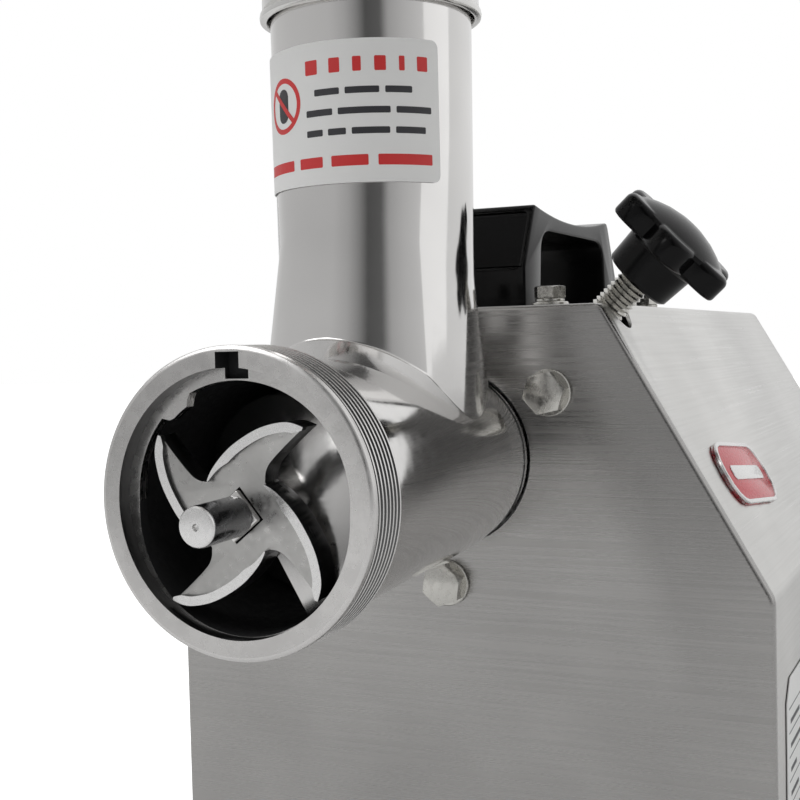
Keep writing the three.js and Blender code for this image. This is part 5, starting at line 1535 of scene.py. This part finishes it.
HOLLOW = 9.0
outside = [(HOLLOW + 22, TRAY_FLOOR), (HOLLOW + 2, TRAY_FLOOR)]
outside += arc(HOLLOW + 0.8, TRAY_FLOOR + HOLLOW, HOLLOW, -90, 0)
rolled_edge = arc(ROLL, TRAY_RIM - ROLL, ROLL, -70, 160, 10)
inside_top = [(2.6 + TRAY_SHEET, TRAY_RIM - 2 * ROLL - 1)]
inside = arc(HOLLOW + 0.8, TRAY_FLOOR + HOLLOW, HOLLOW - TRAY_SHEET, 0, -90)
inside += [(HOLLOW + 2, TRAY_FLOOR + TRAY_SHEET), (HOLLOW + 22, TRAY_FLOOR + TRAY_SHEET)]
walls = outside + rolled_edge + inside_top + inside
THROAT = tube_radius(TUBE_TOP) - TUBE_WALL


def tray_pan():
    mesh = bmesh.new()
    rings = [[mesh.verts.new(point) for point in pan_ring(inset, z)] for inset, z in walls]
    for here, there in zip(rings, rings[1:]):
        count = len(here)
        for k in range(count):
            mesh.faces.new((here[k], here[(k + 1) % count], there[(k + 1) % count], there[k]))
    mesh.faces.new(rings[0][::-1])
    mesh.faces.new(rings[-1])
    data = bpy.data.meshes.new("loading_pan")
    mesh.to_mesh(data)
    mesh.free()
    pan = bpy.data.objects.new("loading_pan", data)
    bpy.context.scene.collection.objects.link(pan)
    active(pan)
    bpy.ops.object.mode_set(mode="EDIT")
    close_up()
    return pan


pan = cut(tray_pan(), bar("throat_hole", THROAT + 2.5, (0, TUBE_Y, TRAY_FLOOR - 6), (0, 0, 14), 96))
dress(pan, tray_steel, body="loading_tray", nodes=["tray"], angle=40)

# %% Collar that slips over the feed tube
COLLAR_BOTTOM = 139.0
COLLAR_OUTER = tube_radius(TUBE_TOP) + 2.74
COLLAR_INNER = tube_radius(TUBE_TOP) + 0.4
collar = spun("tray_collar", [
    (COLLAR_INNER + 0.3, COLLAR_BOTTOM), (COLLAR_INNER + 1.3, COLLAR_BOTTOM),
    (COLLAR_OUTER - 0.2, COLLAR_BOTTOM + 0.5),
    (COLLAR_OUTER, COLLAR_BOTTOM + 1.4), (COLLAR_OUTER - 0.2, COLLAR_BOTTOM + 2.4),
    (COLLAR_OUTER - 0.75, COLLAR_BOTTOM + 3.1), (COLLAR_OUTER - 0.85, COLLAR_BOTTOM + 4),
    (COLLAR_OUTER - 0.85, TRAY_FLOOR - 5), (COLLAR_OUTER - 0.3, TRAY_FLOOR - 1.8),
    (COLLAR_OUTER + 1.6, TRAY_FLOOR - 0.2), (COLLAR_OUTER + 2.2, TRAY_FLOOR + 0.4),
    (COLLAR_OUTER - 0.5, TRAY_FLOOR + TRAY_SHEET), (THROAT + 0.8, TRAY_FLOOR + 1.4),
    (THROAT, TRAY_FLOOR + 0.7), (THROAT, TUBE_TOP + SEAM), (COLLAR_INNER, TUBE_TOP + SEAM),
    (COLLAR_INNER, COLLAR_BOTTOM + 0.4),
], axis="Z", centre=(0, TUBE_Y, 0), steps=128)
dress(collar, tray_steel, body="loading_tray", angle=40)
print(f"tray: {len(pan.data.polygons) + len(collar.data.polygons)} faces")

# %% [markdown]
# ## Controls
# The switch panel is a grey moulding let into the right side. Its buttons have shallow domes,
# each sits in a raised collar, and the reversing rocker is marked with a line and a ring,
# which are signs rather than words.

# %% Switch panel
PANEL_Z = (panel_low.z + panel_high.z) / 2
PANEL_FACE = panel_high.x
controls = {}
for node in ("start_button", "stop_button", "reset_button", "reverse_rocker"):
    low, high = size_of(node)
    controls[node] = (low, high, (low.y + high.y) / 2)


def side_plate(name, half_y, half_z, x0, x1, y=None, corner=5.0, steps=6):
    """A rounded plate that faces right, centred on the panel unless told otherwise."""
    middle = (panel_low.y + panel_high.y) / 2 if y is None else y
    points = []
    for quarter, (sy, sz) in enumerate(((1, 1), (-1, 1), (-1, -1), (1, -1))):
        for step in range(steps + 1):
            turn = math.pi / 2 * (quarter + step / steps)
            points.append((x0, middle + sy * (half_y - corner) + corner * math.cos(turn),
                           PANEL_Z + sz * (half_z - corner) + corner * math.sin(turn)))
    return extruded(name, points, (x1 - x0, 0, 0))


half_y = (panel_high.y - panel_low.y) / 2
half_z = (panel_high.z - panel_low.z) / 2
face = side_plate("panel_moulding", half_y, half_z, BODY_HALF + SEAM, PANEL_FACE)
soften(face, 0.9, 3, 50)
back = block("back", (panel_low.x, panel_low.y + PANEL_EDGE, panel_low.z + PANEL_EDGE),
             (BODY_HALF + 1.2, panel_high.y - PANEL_EDGE, panel_high.z - PANEL_EDGE))
weld(face, back)
wells = []
for node in ("start_button", "stop_button", "reset_button"):
    low, high, y = controls[node]
    radius = (high.z - low.z) / 2 + 0.3
    wells.append(bar("well", radius, (low.x - 3.3, y, PANEL_Z), (30, 0, 0), 64))
rocker_low, rocker_high, rocker_y = controls["reverse_rocker"]
rocker_half_z = (rocker_high.z - rocker_low.z) / 2
wells.append(block("well", (PANEL_FACE - 19, rocker_low.y - 0.3, rocker_low.z - 2),
                   (PANEL_FACE + 8, rocker_high.y + 0.3, rocker_high.z + 2)))
cut(face, *wells)
dress(face, grey_plastic, nodes=["switch_panel"])

# %% Buttons
BUTTON_FINISH = {"start_button": (green_plastic, "start_key", "green_plastic"),
                 "stop_button": (red_plastic, "stop_key", "red_plastic"),
                 "reset_button": (black_plastic, "reset_key", "black_plastic")}
for node, (material, body, slot) in BUTTON_FINISH.items():
    low, high, y = controls[node]
    radius = (high.z - low.z) / 2
    top = high.x
    cap = spun(node.replace("_button", "_cap"), [
        (0, low.x), (radius - 0.4, low.x), (radius, low.x + 0.5), (radius, top - 1.6),
        (radius - 0.25, top - 0.8), (radius - 0.9, top - 0.25), (radius * 0.8, top),
        (radius * 0.62, top - 0.35), (radius * 0.3, top - 0.65),
        (0, top - 0.75),
    ], axis="X", centre=(0, y, PANEL_Z), steps=64)
    dress(cap, material, body=body, nodes=[node])
    ring_in, ring_out = radius + 1.0, radius + 2.4
    trim = spun(node.replace("_button", "_ring"), [
        (ring_in, PANEL_FACE + 0.02), (ring_out, PANEL_FACE + 0.02), (ring_out - 0.15, PANEL_FACE + 0.3),
        (ring_in + 0.2, PANEL_FACE + 0.35),
    ], axis="X", centre=(0, y, PANEL_Z), steps=64)
    dress(trim, zinc)

# %% Reversing rocker
rocker_back = rocker_low.x
crest = PANEL_FACE + 1.5
valley = PANEL_FACE - 0.8
section = [(rocker_back, 4 - rocker_half_z), (rocker_back, rocker_half_z - 4), (crest, rocker_half_z)]
section += [(valley + 0.25, 1.2), (valley, 0), (valley + 0.25, -1.2), (crest, -rocker_half_z)]
rocker = extruded("reverse_paddle", [(x, rocker_low.y, PANEL_Z + z) for x, z in section],
                  (0, rocker_high.y - rocker_low.y, 0))
soften(rocker, 0.5, 3, 40)
dress(rocker, black_plastic, body="reverse_key", nodes=["reverse_rocker"], angle=35)
rocker_tilt = math.atan2(crest - valley, rocker_half_z)


def rocker_sign(name, shape, side):
    """A flat sign on one of the rocker's two slopes."""
    middle = at((crest + valley) / 2 + 0.12, rocker_y, PANEL_Z + side * rocker_half_z / 2)
    tilt = Matrix.Rotation(side * rocker_tilt, 4, "Y")
    shape.name = name
    shape.data.transform(Matrix.Translation(middle) @ tilt @ Matrix.Translation(-HEAD))
    return dress(shape, film_white, body="reverse_key")


rocker_sign("rocker_line", block("line", (-0.06, -2.6, -0.5), (0.06, 2.6, 0.5)), 1)
sign_ring = spun("ring", [(1.7, -0.06), (2.6, -0.06), (2.6, 0.06), (1.7, 0.06)], axis="X", steps=40)
rocker_sign("rocker_ring", sign_ring, -1)

# %% Power inlet in the rear cover
inlet_x = (inlet_low.x + inlet_high.x) / 2
inlet_z = (inlet_low.z + inlet_high.z) / 2
inlet_half_x = (inlet_high.x - inlet_low.x) / 2
inlet_half_z = (inlet_high.z - inlet_low.z) / 2
flange_y = DEPTH + SEAM
flange_front = inlet_high.y
CAVITY_X, CAVITY_Z = 12.2, 8.4
CAN_X, CAN_Z = inlet_half_x - 8, inlet_half_z
flange = rounded_box("inlet_moulding", inlet_x - inlet_half_x, inlet_x + inlet_half_x,
                     inlet_z - CAN_Z + 0.05, inlet_z + CAN_Z - 0.05, 4.5, flange_front - flange_y)
moved(flange, 0, flange_y, 0)
soften(flange, 0.6, 3, 50)
can = block("can", (inlet_x - CAN_X, inlet_low.y, inlet_z - CAN_Z + 2),
            (inlet_x + CAN_X, flange_y + 1, inlet_z + CAN_Z - 2))
weld(flange, can)
CUT_CORNER = 3.2
cavity_outline = [(-CAVITY_X, -CAVITY_Z), (CAVITY_X, -CAVITY_Z), (CAVITY_X, CAVITY_Z - CUT_CORNER),
                  (CAVITY_X - CUT_CORNER, CAVITY_Z), (CUT_CORNER - CAVITY_X, CAVITY_Z),
                  (-CAVITY_X, CAVITY_Z - CUT_CORNER)]
cavity_corners = [(inlet_x + x, inlet_low.y + 4, inlet_z + z) for x, z in cavity_outline]
cavity = extruded("cavity", cavity_corners, (0, 40, 0))
SCREW_SINK = 1.1
screw_floor = flange_front - SCREW_SINK
screw_places = [inlet_x + side * (inlet_half_x - 4) for side in (-1, 1)]
seats = [bar("seat", 2.9, (x, screw_floor, inlet_z), (0, 6, 0), 40) for x in screw_places]
cut(flange, cavity, *seats)
dress(flange, black_plastic, nodes=["power_inlet"])
for index, (dx, dz) in enumerate(((-7, 1), (0, -3), (7, 1)), start=1):
    blade = block(f"inlet_blade_{index}", (inlet_x + dx - 1, inlet_low.y + 3, inlet_z + dz - 2),
                  (inlet_x + dx + 1, flange_front - 5, inlet_z + dz + 2))
    dress(soften(blade, 0.35, 2, 50), land_steel)
INLET_SCREW_SCALE = 0.45
for index, x in enumerate(screw_places, start=1):
    screw = cross_screw(f"inlet_screw_{index}", x, inlet_z)
    screw.data.transform(Matrix.Translation(at(x, screw_floor, inlet_z))
                         @ Matrix.Scale(INLET_SCREW_SCALE, 4)
                         @ Matrix.Translation(-at(x, DEPTH + SEAM, inlet_z)))
    dress(screw, zinc)
print("tray, controls and inlet are dressed")
